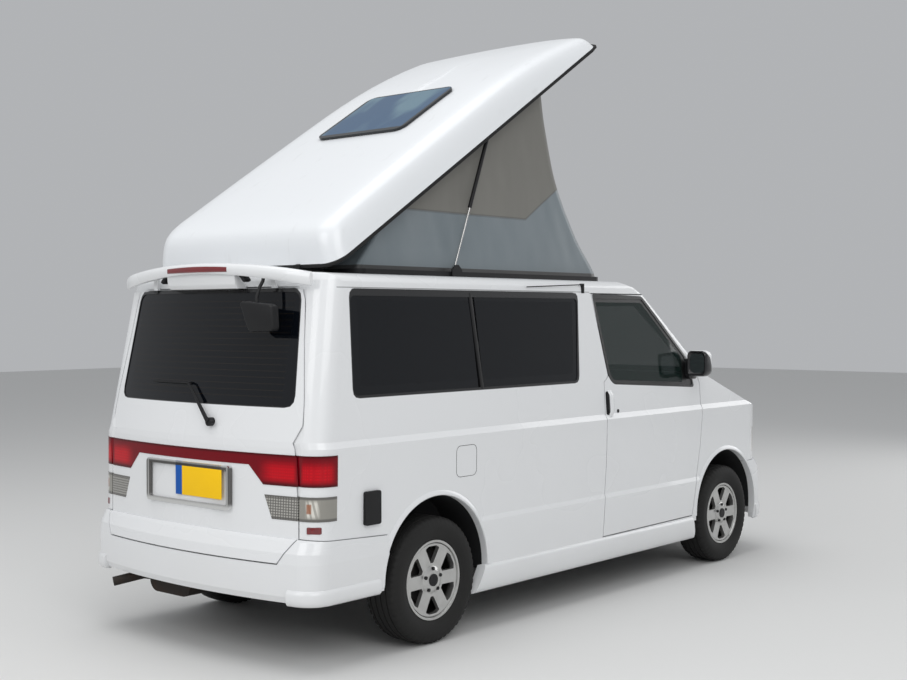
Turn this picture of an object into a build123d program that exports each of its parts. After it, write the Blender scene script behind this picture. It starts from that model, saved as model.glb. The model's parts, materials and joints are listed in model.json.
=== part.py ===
from build123d import *

import os
from math import cos, radians, sin, sqrt, tan

# Camper van with a rear-hinged lifting roof and a fabric tent, roof raised.
# Millimetres. X forward, Y left, Z up, origin on the ground below the middle.

os.makedirs("parts", exist_ok=True)

# Overall sizes
wheelbase = 2920.0
rear_axle_x = -1380.0
track = 1455.0
front_axle_x = rear_axle_x + wheelbase
half_track = track / 2

# Wheels
tyre_radius = 320.0
tyre_width = 205.0
rim_radius = 205.0
rim_width = 170.0
hub_height = tyre_radius
spoke_count = 6
arch_radius = 388.0
arch_height = 360.0
rear_tub_inner = 585.0
front_tub_inner = 430.0
tub_wall = 8.0
arch_reach = 1000.0

# Body shell
wall = 55.0
panel_gap = 7.0
glass_inset = 4.0
glass_thickness = 5.0
glass_clearance = 0.4
seat_gap = 0.3
floor_height = 440.0
floor_thickness = 30.0
sill_height = 320.0
belt_height = 1065.0
gutter_height = 1773.0
roof_height = 1872.0
nose_x = 3625.0
rear_corner = 110.0
nose_corner = 300.0
rear_bow = 3700.0
nose_bow = 1600.0
screen_bow = 2000.0
screen_corner = 150.0
screen_base_x = 3180.0
screen_top_x = 2200.0
bulkhead_x = 2860.0
roof_crown_radius = 11000.0

# Lifting roof
roof_angle = 32.13
roof_hinge_x = -560.0
roof_hinge_z = 1890.0
roof_hinge_y = 420.0
roof_barrel_width = 30.0
roof_barrel_radius = 8.0
roof_pin_radius = 4.0
roof_length = 2760.0
roof_half_width = 700.0
roof_depth = 185.0
roof_wall = 14.0
seal_depth = 10.0
seal_width = 22.0
tent_half_width = 618.0
tent_cloth = 6.0
tent_seat = 60.0

# Gas struts: pin place along and above the lifting roof's rim, foot place on the body roof
strut_y_roof = 640.0
strut_pin_s = 1468.5
strut_pin_h = 20.0
strut_foot = (367.0, 1902.0)
strut_tube_length = 495.7
strut_rod_radius = 5.0


def at(distance):
    """Row x of a place given by its distance ahead of the rear axle."""
    return rear_axle_x + distance


def outline(height, half_width, rear, front, rear_round, front_round, back_bow, front_bow):
    """Plan outline with bowed ends and rounded corners."""
    back = rear + half_width ** 2 / (2 * back_bow)
    fore = front - half_width ** 2 / (2 * front_bow)
    with BuildSketch(Plane.XY.offset(height)) as plan:
        with BuildLine():
            Line((back, -half_width), (fore, -half_width))
            ThreePointArc((fore, -half_width), (front, 0), (fore, half_width))
            Line((fore, half_width), (back, half_width))
            ThreePointArc((back, half_width), (rear, 0), (back, -half_width))
        make_face()
        fillet(plan.vertices().sort_by(Axis.X)[:2], rear_round)
        fillet(plan.vertices().sort_by(Axis.X)[-2:], front_round)
    return plan.sketch


def side_block(points, inner, outer, corner=0.0, grow=0.0):
    """Prism through the right side of the body, from a side view outline."""
    with BuildPart() as block:
        with BuildSketch(Plane.XZ.offset(inner)) as face:
            with BuildLine():
                Polyline([(at(x), z) for x, z in points], close=True)
            make_face()
            if corner:
                fillet(face.vertices(), corner)
            if grow:
                offset(amount=grow, kind=Kind.INTERSECTION)
        extrude(amount=outer - inner)
    return block.part


def end_block(points, start, finish, corner=0.0, grow=0.0):
    """Prism along the body, from a rear view outline of half the width."""
    both = list(points) + [(-y, z) for y, z in reversed(points)]
    with BuildPart() as block:
        with BuildSketch(Plane.YZ.offset(at(start))) as face:
            with BuildLine():
                Polyline(both, close=True)
            make_face()
            if corner:
                fillet(face.vertices(), corner)
            if grow:
                offset(amount=grow, kind=Kind.INTERSECTION)
        extrude(amount=finish - start)
    return block.part


finished = []


def keep(part, name):
    """Label a finished piece and put it on the list to write."""
    part.label = name
    finished.append(part)


# Body sections: height, half width, distance of the rear face behind the rear axle
body_sections = (
    (sill_height, 838.0, -900.0),
    (575.0, 843.0, -900.0),
    (600.0, 836.0, -899.0),
    (1035.0, 842.0, -893.0),
    (belt_height, 826.0, -890.0),
    (gutter_height, 775.0, -758.0),
)
belt_half = 826.0
gutter_half = 775.0
belt_rear = -890.0
gutter_rear = -758.0


def side_half(height):
    """Half width of the body side between belt and gutter."""
    share = (height - belt_height) / (gutter_height - belt_height)
    return belt_half + share * (gutter_half - belt_half)


def screen_x(height):
    """Distance of the windscreen ahead of the rear axle, on the middle line."""
    share = (height - belt_height) / (gutter_height - belt_height)
    return screen_base_x + share * (screen_top_x - screen_base_x)


def rear_x(height):
    """Distance of the rear face from the rear axle, on the middle line."""
    share = (height - belt_height) / (gutter_height - belt_height)
    return belt_rear + share * (gutter_rear - belt_rear)


screen_run = (screen_base_x - screen_top_x) / (gutter_height - belt_height)
screen_stretch = sqrt(1 + screen_run ** 2)


def upper_body(inset, low, high, front_extra=0.0):
    """Upper body between two heights, every face moved in by inset."""
    rings = [outline(height, side_half(height) - inset, at(rear_x(height)) + inset,
                     at(screen_x(height)) - inset * screen_stretch - front_extra,
                     rear_corner - inset / 2, screen_corner - inset / 2,
                     rear_bow - inset, screen_bow - inset)
             for height in (low, high)]
    with BuildPart() as body:
        loft(rings, ruled=True)
    return body.part


# Body volume: stacked sections, cut by the bonnet and windscreen surfaces
stack = [outline(height, half, at(rear), at(nose_x), rear_corner, nose_corner, rear_bow, nose_bow)
         for height, half, rear in body_sections]
bonnet_bend = (3250.0, 1100.0)
nose_middle = (3515.0, 925.0)
nose_foot = (3640.0, 640.0)
bonnet_crown = 7000.0
with BuildPart() as under_bonnet:
    with BuildSketch(Plane.XZ):
        with BuildLine():
            Polyline((at(bonnet_bend[0]), bonnet_bend[1]), (at(2500), 1370), (at(1000), 1370),
                     (at(1000), 100), (at(nose_foot[0]), 100), (at(nose_foot[0]), nose_foot[1]))
            ThreePointArc((at(nose_foot[0]), nose_foot[1]), (at(nose_middle[0]), nose_middle[1]),
                          (at(bonnet_bend[0]), bonnet_bend[1]))
        make_face()
    revolve(axis=Axis((0, 0, bonnet_bend[1] - bonnet_crown), (1, 0, 0)))

guard_rings = [outline(height, side_half(height) + 0.5, at(500), at(screen_x(height)),
                       40, screen_corner, rear_bow, screen_bow) for height in (1000, 1900)]
with BuildPart() as screen_guard:
    loft(guard_rings, ruled=True)

with BuildPart() as open_air:
    with BuildSketch(Plane.XY.offset(300)):
        with Locations((at(2900), 0)):
            Rectangle(2200, 2200)
    extrude(amount=1700)
    add(under_bonnet.part, mode=Mode.SUBTRACT)
    add(screen_guard.part, mode=Mode.SUBTRACT)

roof_edge = 8.0
roof_rings = [outline(height, gutter_half - inward, at(rear), at(front), 100, 110, rear_bow, screen_bow)
              for height, inward, rear, front in (
                  (gutter_height - 40, roof_edge, -748, 2190), (gutter_height, roof_edge, -748, 2190),
                  (1816, roof_edge + 4, -738, 2095), (1848, roof_edge + 8, -722, 1925),
                  (1900, roof_edge + 10, -690, 1600))]
with BuildPart() as roof_volume:
    loft(roof_rings, ruled=True)
    with BuildSketch(Plane.YZ.offset(at(-1000))) as dome:
        with Locations((0, roof_height - roof_crown_radius)):
            Circle(roof_crown_radius)
        with Locations((0, 1700)):
            Rectangle(2 * (gutter_half - roof_edge), 700, mode=Mode.INTERSECT)
        fillet(dome.vertices().group_by(Axis.Y)[-1], 60)
    extrude(amount=3600, mode=Mode.INTERSECT)

with BuildPart() as body_volume:
    loft(stack, ruled=True)
    add(open_air.part, mode=Mode.SUBTRACT)
    add(roof_volume.part)

# Inner volumes: load space, cab, roof space and engine bay
low_top = 1110.0
low_ring = [outline(height, body_sections[3][1] - wall - 5, at(-835), at(bulkhead_x), 80, 80, 3600, 9000)
            for height in (300, low_top)]
roof_opening = ((-330.0, 1690.0), 640.0)
bay_rings = [outline(height, 745, at(2820), at(3560), 30, 220, 9000, 1500) for height in (300, 1250)]
with BuildPart() as inner_volume:
    loft(low_ring, ruled=True)
    add(upper_body(wall, low_top - 20, gutter_height - 18, front_extra=20))
    with BuildSketch(Plane.XY.offset(1700)):
        with Locations((at(sum(roof_opening[0]) / 2), 0)):
            RectangleRounded(roof_opening[0][1] - roof_opening[0][0], 2 * roof_opening[1], 60)
    extrude(amount=300)

with BuildPart() as bay_volume:
    loft(bay_rings, ruled=True)
    with BuildSketch(Plane.XZ) as bay_side:
        with BuildLine():
            Polyline((at(2840), 200), (at(2840), floor_height), (at(2930), floor_height), (at(2930), 1050),
                     (at(3055), 1050), (at(3055), 1125), (at(3250), 1060), (at(3475), 905), (at(3590), 640), (at(3590), 200), close=True)
        make_face()
    extrude(amount=900, both=True, mode=Mode.INTERSECT)

with BuildPart() as arches:
    for axle, tub in ((0, rear_tub_inner), (wheelbase, front_tub_inner)):
        for side in (1, -1):
            with BuildSketch(Plane.XZ.offset(side * tub)):
                with Locations((at(axle), arch_height)):
                    Circle(arch_radius)
                with Locations((at(axle), arch_height - arch_radius)):
                    Rectangle(2 * arch_radius - 16, 2 * arch_radius)
            extrude(amount=side * (arch_reach - tub))

with BuildPart() as tubs:
    for axle, tub in ((0, rear_tub_inner), (wheelbase, front_tub_inner)):
        for side in (1, -1):
            with BuildSketch(Plane.XZ.offset(side * (tub - tub_wall))):
                with Locations((at(axle), arch_height)):
                    Circle(arch_radius + tub_wall)
                with Locations((at(axle), 0)):
                    Rectangle(3 * arch_radius, 2 * sill_height, mode=Mode.SUBTRACT)
            extrude(amount=side * (810 - tub + tub_wall))
    with BuildSketch(Plane.XZ.offset(-700)):
        with Locations((at(0), sill_height)):
            Rectangle(110, 100)
    extrude(amount=1400, mode=Mode.SUBTRACT)
    add(arches.part, mode=Mode.SUBTRACT)

with BuildPart() as hull:
    add(body_volume.part)
    add(inner_volume.part, mode=Mode.SUBTRACT)
    add(bay_volume.part, mode=Mode.SUBTRACT)

# Bumper seams, seen from the side: everything below and behind belongs to a bumper
rear_seam = ((-360.0, 596.0), (-770.0, 616.0), (-990.0, 636.0))
rear_zone = ((-360.0, 200.0),) + rear_seam + ((-990.0, 200.0),)
front_seam_height = 648.0
front_zone = ((2800.0, 200.0), (2800.0, front_seam_height), (3800.0, front_seam_height), (3800.0, 200.0))
tailgate_half = ((636.0, 1780.0), (667.0, 1535.0), (711.0, 1260.0), (736.0, 1010.0),
                 (718.0, 800.0), (718.0, 622.0), (640.0, 512.0))


# Outlines seen from the side
bonnet_rear = 3032.0
door_low = 353.0
door_outline = ((1440.0, 1769.0), (1567.0, 1286.0), (1520.0, 1250.0), (1513.0, 1060.0), (1506.0, 774.0),
                (1471.0, door_low), (2479.0, 360.0), (2555.0, 682.0), (2582.0, 812.0), (2607.0, 1040.0),
                (2607.0, 1205.0), (2510.0, 1392.0), (2020.0, 1769.0))
door_window = ((1454.0, 1742.0), (1574.0, 1290.0), (1612.0, 1242.0), (2530.0, 1192.0), (2440.0, 1378.0),
               (1975.0, 1742.0))
long_window = ((-550.0, 1742.0), (-560.0, 1272.0), (1250.0, 1272.0), (1290.0, 1742.0))
sliding_outline = ((372.0, 1769.0), (372.0, door_low), (1454.0, door_low), (1490.0, 774.0), (1498.0, 1060.0),
                   (1505.0, 1255.0), (1550.0, 1292.0), (1424.0, 1769.0))
tailgate_side = ((-1000.0, 500.0), (-1000.0, 1790.0), (-704.0, 1790.0), (-760.0, 1300.0),
                 (-828.0, 1062.0), (-828.0, 500.0))
tail_window = ((612.0, 1760.0), (664.0, 1226.0))
tailgate_axis = (-735.0, 1850.0)
tailgate_hinge_y = 400.0
tailgate_hinge_radius = 7.0
screen_window = ((650.0, 1740.0), (700.0, 1500.0), (735.0, 1262.0))
bonnet_plan = ((bonnet_rear, 655.0), (3300.0, 640.0), (3420.0, 600.0), (3700.0, 560.0))
bonnet_height = 897.0
hinge_barrel_radius = 5.0
hinge_barrel_height = 1140.0
hinge_barrel_y = 450.0


def plan_block(points, low, high, grow=0.0):
    """Upright prism from a plan outline of the left half."""
    both = list(points) + [(x, -y) for x, y in reversed(points)]
    with BuildPart() as block:
        with BuildSketch(Plane.XY.offset(low - grow)):
            with BuildLine():
                Polyline([(at(x), y) for x, y in both], close=True)
            make_face()
            if grow:
                offset(amount=grow, kind=Kind.INTERSECTION)
        extrude(amount=high - low + grow)
    return block.part


door_block = side_block(door_outline, 700, 900)
door_gap_block = side_block(door_outline, 700 - panel_gap, 910, grow=panel_gap)


def tailgate_space(grow):
    """Space of the tailgate, or of the tailgate and the gap round it."""
    with BuildPart() as space:
        add(end_block(tailgate_half, -1010, -600, grow=grow))
        add(side_block(tailgate_side, -900, 900, grow=grow), mode=Mode.INTERSECT)
    return space.part


tailgate_block = tailgate_space(0)
tailgate_gap_block = tailgate_space(panel_gap)
bonnet_block = plan_block(bonnet_plan, bonnet_height, 1400)
bonnet_gap_block = plan_block(bonnet_plan, bonnet_height, 1400, grow=panel_gap)
sliding_block = side_block(sliding_outline, 700, 900)
sliding_gap_block = side_block(sliding_outline, 700 - panel_gap, 910, grow=panel_gap)
long_window_block = side_block(long_window, 600, 900, 28)
door_window_block = side_block(door_window, 600, 900, 20)
tail_window_block = end_block(tail_window, -1100, -500, 45)
screen_window_block = end_block(screen_window, 1900, 3150, 40)

with BuildPart() as pillar:
    with BuildSketch(Plane.XZ.offset(600)):
        with BuildLine():
            Polyline((at(318), 1800), (at(368), 1200), (at(412), 1200), (at(362), 1800), close=True)
        make_face()
    extrude(amount=300)

# Rear bumper, with the lip that rides on the tailgate
bumper_core = [outline(height, 806, at(-862), at(3640), 90, 290, 3660, 1560) for height in (150, 700)]
with BuildPart() as core:
    loft(bumper_core, ruled=True)
rear_rings = [outline(height, half, at(rear), at(1000), 120, 50, 3700, 4000)
              for height, half, rear in ((332, 838, -935), (362, 846, -948), (512, 849, -950),
                                         (560, 847, -944), (612, 844, -920), (640, 838, -897))]
with BuildPart() as rear_band:
    loft(rear_rings, ruled=True)
    add(core.part, mode=Mode.SUBTRACT)
    with BuildSketch(Plane.XZ.offset(-1000)):
        with BuildLine():
            Polyline([(at(x), z) for x, z in rear_zone], close=True)
        make_face()
    extrude(amount=2000, mode=Mode.INTERSECT)
    add(arches.part, mode=Mode.SUBTRACT)

front_rings = [outline(height, half, at(0), at(front), 50, nose_corner + 20, 4000, nose_bow)
               for height, half, front in ((250, 836, 3690), (335, 846, 3712), (510, 847, 3708),
                                           (600, 846, 3696), (648, 840, 3655))]
with BuildPart() as front_band:
    loft(front_rings, ruled=True)
    add(core.part, mode=Mode.SUBTRACT)
    with BuildSketch(Plane.XZ.offset(-1000)):
        with BuildLine():
            Polyline([(at(x), z) for x, z in front_zone], close=True)
        make_face()
    extrude(amount=2000, mode=Mode.INTERSECT)
    add(arches.part, mode=Mode.SUBTRACT)
    with BuildSketch(Plane.YZ.offset(at(3300))):
        with Locations((0, 420)):
            RectangleRounded(1040, 110, 30)
    extrude(amount=600, mode=Mode.SUBTRACT)

with BuildPart() as skirt_space:
    with BuildSketch(Plane.XZ.offset(-1000)):
        with BuildLine():
            Polyline([(at(x), z + 3) for x, z in rear_zone], close=True)
        make_face()
        with BuildLine():
            Polyline([(at(x), z + 3) for x, z in front_zone], close=True)
        make_face()
    extrude(amount=2000)
    add(core.part, mode=Mode.SUBTRACT)

# Lamps
lamp_rings = [outline(height, half + 2, at(rear - 2), at(0), rear_corner, 50, rear_bow, 4000)
              for height, half, rear in ((680, 837.6, -898), (1030, 842, -893))]
lamp_inner_rings = [outline(height, half - 26, at(rear + 26), at(50), rear_corner - 20, 50, rear_bow, 4000)
                    for height, half, rear in ((680, 837.6, -898), (1030, 842, -893))]
with BuildPart() as lamp_band:
    loft(lamp_rings, ruled=True)
    loft(lamp_inner_rings, ruled=True, mode=Mode.SUBTRACT)

with BuildPart() as side_lamps_red:
    add(lamp_band.part)
    add(side_block(((-1000, 863), (-1000, 1006), (-696, 1006), (-696, 863)), -900, 900), mode=Mode.INTERSECT)
    add(tailgate_gap_block, mode=Mode.SUBTRACT)

with BuildPart() as side_lamps_clear:
    add(lamp_band.part)
    add(side_block(((-1000, 705), (-1000, 818), (-700, 818), (-700, 705)), -900, 900), mode=Mode.INTERSECT)
    add(tailgate_gap_block, mode=Mode.SUBTRACT)

red_band = ((800.0, 1006.0), (800.0, 862.0), (515.0, 862.0), (425.0, 950.0))
clear_band = ((800.0, 816.0), (800.0, 706.0), (568.0, 706.0), (523.0, 816.0))
with BuildPart() as clear_block:
    with BuildSketch(Plane.YZ.offset(at(-1100))):
        with BuildLine():
            Polyline(clear_band, close=True)
        make_face()
        mirror(about=Plane.YZ)
    extrude(amount=400)
with BuildPart() as tailgate_lamps_red:
    add(lamp_band.part)
    add(end_block(red_band, -1100, -700), mode=Mode.INTERSECT)
    add(tailgate_block, mode=Mode.INTERSECT)

with BuildPart() as tailgate_lamps_clear:
    add(lamp_band.part)
    add(clear_block.part, mode=Mode.INTERSECT)
    add(tailgate_block, mode=Mode.INTERSECT)

lamp_front = 3300.0
with BuildPart() as lamp_boxes:
    with BuildSketch(Plane.YZ.offset(at(lamp_front))):
        with Locations((640, 790), (-640, 790)):
            RectangleRounded(420, 170, 25)
    extrude(amount=500)
with BuildPart() as grille_box:
    with BuildSketch(Plane.YZ.offset(at(lamp_front))):
        with Locations((0, 790)):
            RectangleRounded(840, 170, 25)
    extrude(amount=500)
with BuildPart() as headlamps:
    add(hull.part)
    add(lamp_boxes.part, mode=Mode.INTERSECT)

with BuildPart() as grille:
    add(hull.part)
    add(grille_box.part, mode=Mode.INTERSECT)
    with BuildSketch(Plane.YZ.offset(at(lamp_front))):
        for row in range(4):
            with Locations((0, 790 + (row - 1.5) * 36)):
                RectangleRounded(800, 22, 8)
    extrude(amount=500, mode=Mode.SUBTRACT)

# Body shell
with BuildPart() as body_shell:
    add(hull.part)
    add(tubs.part)
    add(arches.part, mode=Mode.SUBTRACT)
    add(skirt_space.part, mode=Mode.SUBTRACT)
    add(door_gap_block, mode=Mode.SUBTRACT)
    add(mirror(door_gap_block, about=Plane.XZ), mode=Mode.SUBTRACT)
    add(mirror(sliding_gap_block, about=Plane.XZ), mode=Mode.SUBTRACT)
    add(tailgate_gap_block, mode=Mode.SUBTRACT)
    add(bonnet_gap_block, mode=Mode.SUBTRACT)
    add(long_window_block, mode=Mode.SUBTRACT)
    add(mirror(long_window_block, about=Plane.XZ), mode=Mode.SUBTRACT)
    add(screen_window_block, mode=Mode.SUBTRACT)
    add(lamp_boxes.part, mode=Mode.SUBTRACT)
    add(grille_box.part, mode=Mode.SUBTRACT)
    add(side_lamps_red.part, mode=Mode.SUBTRACT)
    add(side_lamps_clear.part, mode=Mode.SUBTRACT)
    for side in (1, -1):
        with BuildSketch(Plane.XZ.offset(side * hinge_barrel_y)):
            with Locations((at(bonnet_rear - seat_gap - hinge_barrel_radius), hinge_barrel_height)):
                Circle(hinge_barrel_radius)
        extrude(amount=30, both=True)
        with BuildSketch(Plane.XZ.offset(side * tailgate_hinge_y)):
            with BuildLine():
                Polyline([(at(tailgate_axis[0] + ahead), tailgate_axis[1] + up)
                          for ahead, up in ((0, -7), (55, -7), (55, 7), (0, 7))], close=True)
            make_face()
            with Locations((at(tailgate_axis[0]), tailgate_axis[1])):
                Circle(tailgate_hinge_radius)
        extrude(amount=side * 40)
keep(body_shell.part, "body_shell")

with BuildPart() as front_door_right:
    add(hull.part)
    add(door_block, mode=Mode.INTERSECT)
    add(door_window_block, mode=Mode.SUBTRACT)

with BuildPart() as sliding_panel:
    add(hull.part)
    add(sliding_block, mode=Mode.INTERSECT)
    add(long_window_block, mode=Mode.SUBTRACT)
    with BuildSketch(Plane.XY.offset(door_low + 1)):
        with Locations((at(560), -806), (at(1300), -806)):
            Rectangle(70, 24)
    extrude(amount=-(panel_gap + 1 - seat_gap))
with BuildPart() as sliding_door:
    add(mirror(sliding_panel.part, about=Plane.XZ))

with BuildPart() as tailgate:
    add(hull.part)
    add(rear_band.part)
    add(tailgate_block, mode=Mode.INTERSECT)
    add(tail_window_block, mode=Mode.SUBTRACT)
    add(tailgate_lamps_red.part, mode=Mode.SUBTRACT)
    add(tailgate_lamps_clear.part, mode=Mode.SUBTRACT)
    for side in (1, -1):
        with BuildSketch(Plane.XZ.offset(side * (tailgate_hinge_y + 40 + seat_gap))):
            with BuildLine():
                Polyline([(at(tailgate_axis[0] + ahead), tailgate_axis[1] + up)
                          for ahead, up in ((-7, 0), (-4, -86), (11, -86), (7, 0))], close=True)
            make_face()
            with Locations((at(tailgate_axis[0]), tailgate_axis[1])):
                Circle(tailgate_hinge_radius)
        extrude(amount=side * 30)

with BuildPart() as bonnet:
    add(hull.part)
    add(bonnet_block, mode=Mode.INTERSECT)

with BuildPart() as rear_bumper:
    add(rear_band.part)
    add(tailgate_gap_block, mode=Mode.SUBTRACT)

# Glass
with BuildPart() as glass_skin:
    add(upper_body(glass_inset, belt_height + 60, gutter_height - 10))
    add(upper_body(glass_inset + glass_thickness, belt_height + 50, gutter_height), mode=Mode.SUBTRACT)
with BuildPart() as long_glass:
    add(glass_skin.part)
    add(side_block(long_window, 600, 900, 28, -glass_clearance), mode=Mode.INTERSECT)
    add(pillar.part, mode=Mode.SUBTRACT)
with BuildPart() as side_glass:
    add(long_glass.part)
    add(mirror(long_glass.part, about=Plane.XZ))
with BuildPart() as door_glass_right:
    add(glass_skin.part)
    add(side_block(door_window, 600, 900, 20, -glass_clearance), mode=Mode.INTERSECT)
with BuildPart() as tailgate_glass:
    add(glass_skin.part)
    add(end_block(tail_window, -1100, -500, 45, -glass_clearance), mode=Mode.INTERSECT)
with BuildPart() as windscreen:
    add(glass_skin.part)
    add(end_block(screen_window, 1900, 3150, 40, -glass_clearance), mode=Mode.INTERSECT)

# Wheels
bead = rim_width / 2
crown = tyre_width / 2
with BuildPart() as tyre:
    with BuildSketch(Plane.XY) as tyre_section:
        with BuildLine():
            Polyline((bead - 6, rim_radius - 4), (crown - 4, rim_radius + 40), (crown, 262),
                     (crown - 22, tyre_radius), (22 - crown, tyre_radius), (-crown, 262),
                     (4 - crown, rim_radius + 40), (6 - bead, rim_radius - 4), close=True)
        make_face()
    revolve(axis=Axis.X)

with BuildSketch() as rim_window:
    with BuildLine():
        Polyline((84, -10), (84, 10), (158, 52), (171, 28), (171, -28), (158, -52), close=True)
    make_face()
    fillet(rim_window.vertices(), 7)

face_x = bead - 8
with BuildPart() as rim:
    with BuildSketch(Plane.XY) as rim_section:
        with BuildLine():
            Polyline((bead, rim_radius - 4.3), (bead, rim_radius - 16), (bead - 26, rim_radius - 26),
                     (-bead, rim_radius - 26), (-bead, rim_radius - 4.3), close=True)
        make_face()
    revolve(axis=Axis.X)
    with BuildSketch(Plane.XY) as disc_section:
        with BuildLine():
            Polyline((face_x + 6, 0), (face_x + 6, 52), (face_x - 4, 70), (face_x + 2, rim_radius - 22),
                     (face_x - 22, rim_radius - 22), (face_x - 26, 60), (face_x - 40, 55), (face_x - 40, 0),
                     close=True)
        make_face()
    revolve(axis=Axis.X)
    with BuildSketch(Plane.YZ.offset(face_x - 60)):
        with PolarLocations(0, spoke_count, start_angle=90):
            add(rim_window.sketch)
    extrude(amount=120, mode=Mode.SUBTRACT)

wheel_places = (
    ("front_left", wheelbase, 1),
    ("front_right", wheelbase, -1),
    ("rear_left", 0.0, 1),
    ("rear_right", 0.0, -1),
)


def place(axle, side):
    """Location of a wheel centre, outer face away from the middle."""
    return Location((at(axle), side * half_track, hub_height), (0, 0, 90 * side))


for name, axle, side in wheel_places:
    with BuildPart() as this_tyre:
        add(tyre.part.moved(place(axle, side)))
    keep(this_tyre.part, "tyre_" + name)
    with BuildPart() as this_rim:
        add(rim.part.moved(place(axle, side)))
    keep(this_rim.part, "rim_" + name)

# Hubs, knuckles and axles. The mount plane is where a rim bolts on.
mount_y = half_track + face_x - 40 - 0.3
kingpin_y = 640.0
kingpin_radius = 12.0
arm_height = 168.0
arm_thickness = 34.0
knuckle_low = arm_height + arm_thickness / 2 + seat_gap
knuckle_high = 448.0
with BuildPart() as knuckle:
    with BuildSketch(Plane.XZ.offset(560)):
        with Locations((at(wheelbase), (knuckle_low + knuckle_high) / 2)):
            RectangleRounded(80, knuckle_high - knuckle_low, 20)
        with Locations((at(wheelbase), hub_height)):
            Circle(70)
    extrude(amount=95)
    with BuildSketch(Plane.XY.offset(knuckle_low)):
        with Locations((at(wheelbase), -kingpin_y)):
            Circle(kingpin_radius)
    extrude(amount=-arm_thickness)
    with BuildSketch(Plane.XZ.offset(560)):
        with Locations((at(wheelbase), hub_height)):
            Circle(38)
    extrude(amount=mount_y - 560)
    with BuildSketch(Plane.XZ.offset(mount_y - 55)):
        with Locations((at(wheelbase), hub_height)):
            Circle(135)
    extrude(amount=22)
keep(knuckle.part, "knuckle_right")
with BuildPart() as knuckle_left:
    add(mirror(knuckle.part, about=Plane.XZ))
keep(knuckle_left.part, "knuckle_left")

with BuildPart() as rear_axle:
    with BuildSketch(Plane.XZ.offset(-mount_y)):
        with Locations((at(0), hub_height)):
            Circle(38)
    extrude(amount=2 * mount_y)
    for side in (1, -1):
        with BuildSketch(Plane.XZ.offset(side * (mount_y - 20))):
            with Locations((at(0), hub_height)):
                Circle(125)
        extrude(amount=-side * 60)
    with BuildSketch(Plane.XZ.offset(-110)):
        with Locations((at(0), hub_height)):
            Circle(105)
    extrude(amount=220)
    for side in (1, -1):
        with BuildSketch(Plane.XY.offset(hub_height + 20)):
            with Locations((at(0), side * 522)):
                Circle(50)
        extrude(amount=floor_height - hub_height - 20.3)
keep(rear_axle.part, "rear_axle")

strut_y = 552.0
with BuildPart() as front_suspension:
    for side in (1, -1):
        with BuildSketch(Plane.XY.offset(knuckle_high + seat_gap)):
            with Locations((at(wheelbase), side * strut_y)):
                Circle(22)
        extrude(amount=arch_height + arch_radius - knuckle_high - seat_gap - 1.5)
        with BuildSketch(Plane.XY.offset(560)):
            with Locations((at(wheelbase), side * strut_y)):
                Circle(52)
        extrude(amount=150)
    with BuildSketch(Plane.XZ.offset(-590)):
        with Locations((at(wheelbase), arm_height)):
            RectangleRounded(120, arm_thickness, 12)
    extrude(amount=1180)
    with BuildSketch(Plane.XY.offset(arm_height - arm_thickness / 2)):
        with Locations((at(wheelbase), 0)):
            SlotCenterToCenter(2 * kingpin_y, 40, rotation=90)
        with Locations((at(wheelbase), kingpin_y), (at(wheelbase), -kingpin_y)):
            Circle(kingpin_radius + seat_gap, mode=Mode.SUBTRACT)
    extrude(amount=arm_thickness)
    with BuildSketch(Plane.XY.offset(185)):
        with Locations((at(wheelbase), 0)):
            RectangleRounded(300, 620, 40)
    extrude(amount=90)
    for side in (1, -1):
        with BuildSketch(Plane.XY.offset(270)):
            with Locations((at(wheelbase), side * 290)):
                Rectangle(90, 40)
        extrude(amount=floor_height - 270.3)
keep(front_suspension.part, "front_suspension")

# Floor, with the raised box over the engine
hump = (1930.0, 2700.0, 400.0, 690.0)
board = (930.0, 1780.0, 600.0, 12.0)
with BuildPart() as floor_pan:
    with BuildSketch(Plane.XY.offset(floor_height)):
        with Locations((at((bulkhead_x - 835) / 2), 0)):
            RectangleRounded(bulkhead_x + 835 - 4, 2 * 780, 75)
    extrude(amount=floor_thickness)
    with BuildSketch(Plane.XY.offset(floor_height)):
        with Locations((at((hump[0] + hump[1]) / 2), 0)):
            Rectangle(hump[1] - hump[0] - 40, 2 * hump[2] - 40)
    extrude(amount=floor_thickness, mode=Mode.SUBTRACT)
    with BuildSketch(Plane.XY.offset(floor_height + floor_thickness)):
        with Locations((at((board[0] + board[1]) / 2), 0)):
            RectangleRounded(board[1] - board[0], 2 * board[2], 20)
    extrude(amount=board[3])
    for side in (1, -1):
        with BuildSketch(Plane.XY.offset(floor_height - 70)):
            with Locations((at(1000), side * 430)):
                Rectangle(2600, 60)
        extrude(amount=70)
    add(tubs.part, mode=Mode.SUBTRACT)
    add(arches.part, mode=Mode.SUBTRACT)
    add(body_shell.part, mode=Mode.SUBTRACT)
    add(rear_bumper.part, mode=Mode.SUBTRACT)
keep(floor_pan.part, "floor_pan")

with BuildPart() as engine_cover:
    with BuildSketch(Plane.XY.offset(floor_height + floor_thickness)):
        with Locations((at((hump[0] + hump[1]) / 2), 0)):
            RectangleRounded(hump[1] - hump[0], 2 * hump[2], 25)
    extrude(amount=hump[3] - floor_height - floor_thickness)
    with BuildSketch(Plane.XY.offset(floor_height)):
        with Locations((at((hump[0] + hump[1]) / 2), 0)):
            Rectangle(hump[1] - hump[0] - 40, 2 * hump[2] - 40)
    extrude(amount=hump[3] - floor_height - 20, mode=Mode.SUBTRACT)
keep(engine_cover.part, "engine_cover")

with BuildPart() as engine_block:
    with BuildSketch(Plane.XY.offset(250)):
        with Locations((at(2310), 0)):
            RectangleRounded(620, 520, 30)
    extrude(amount=hump[3] - 20 - 250 - 0.3)
keep(engine_block.part, "engine_block")

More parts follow.
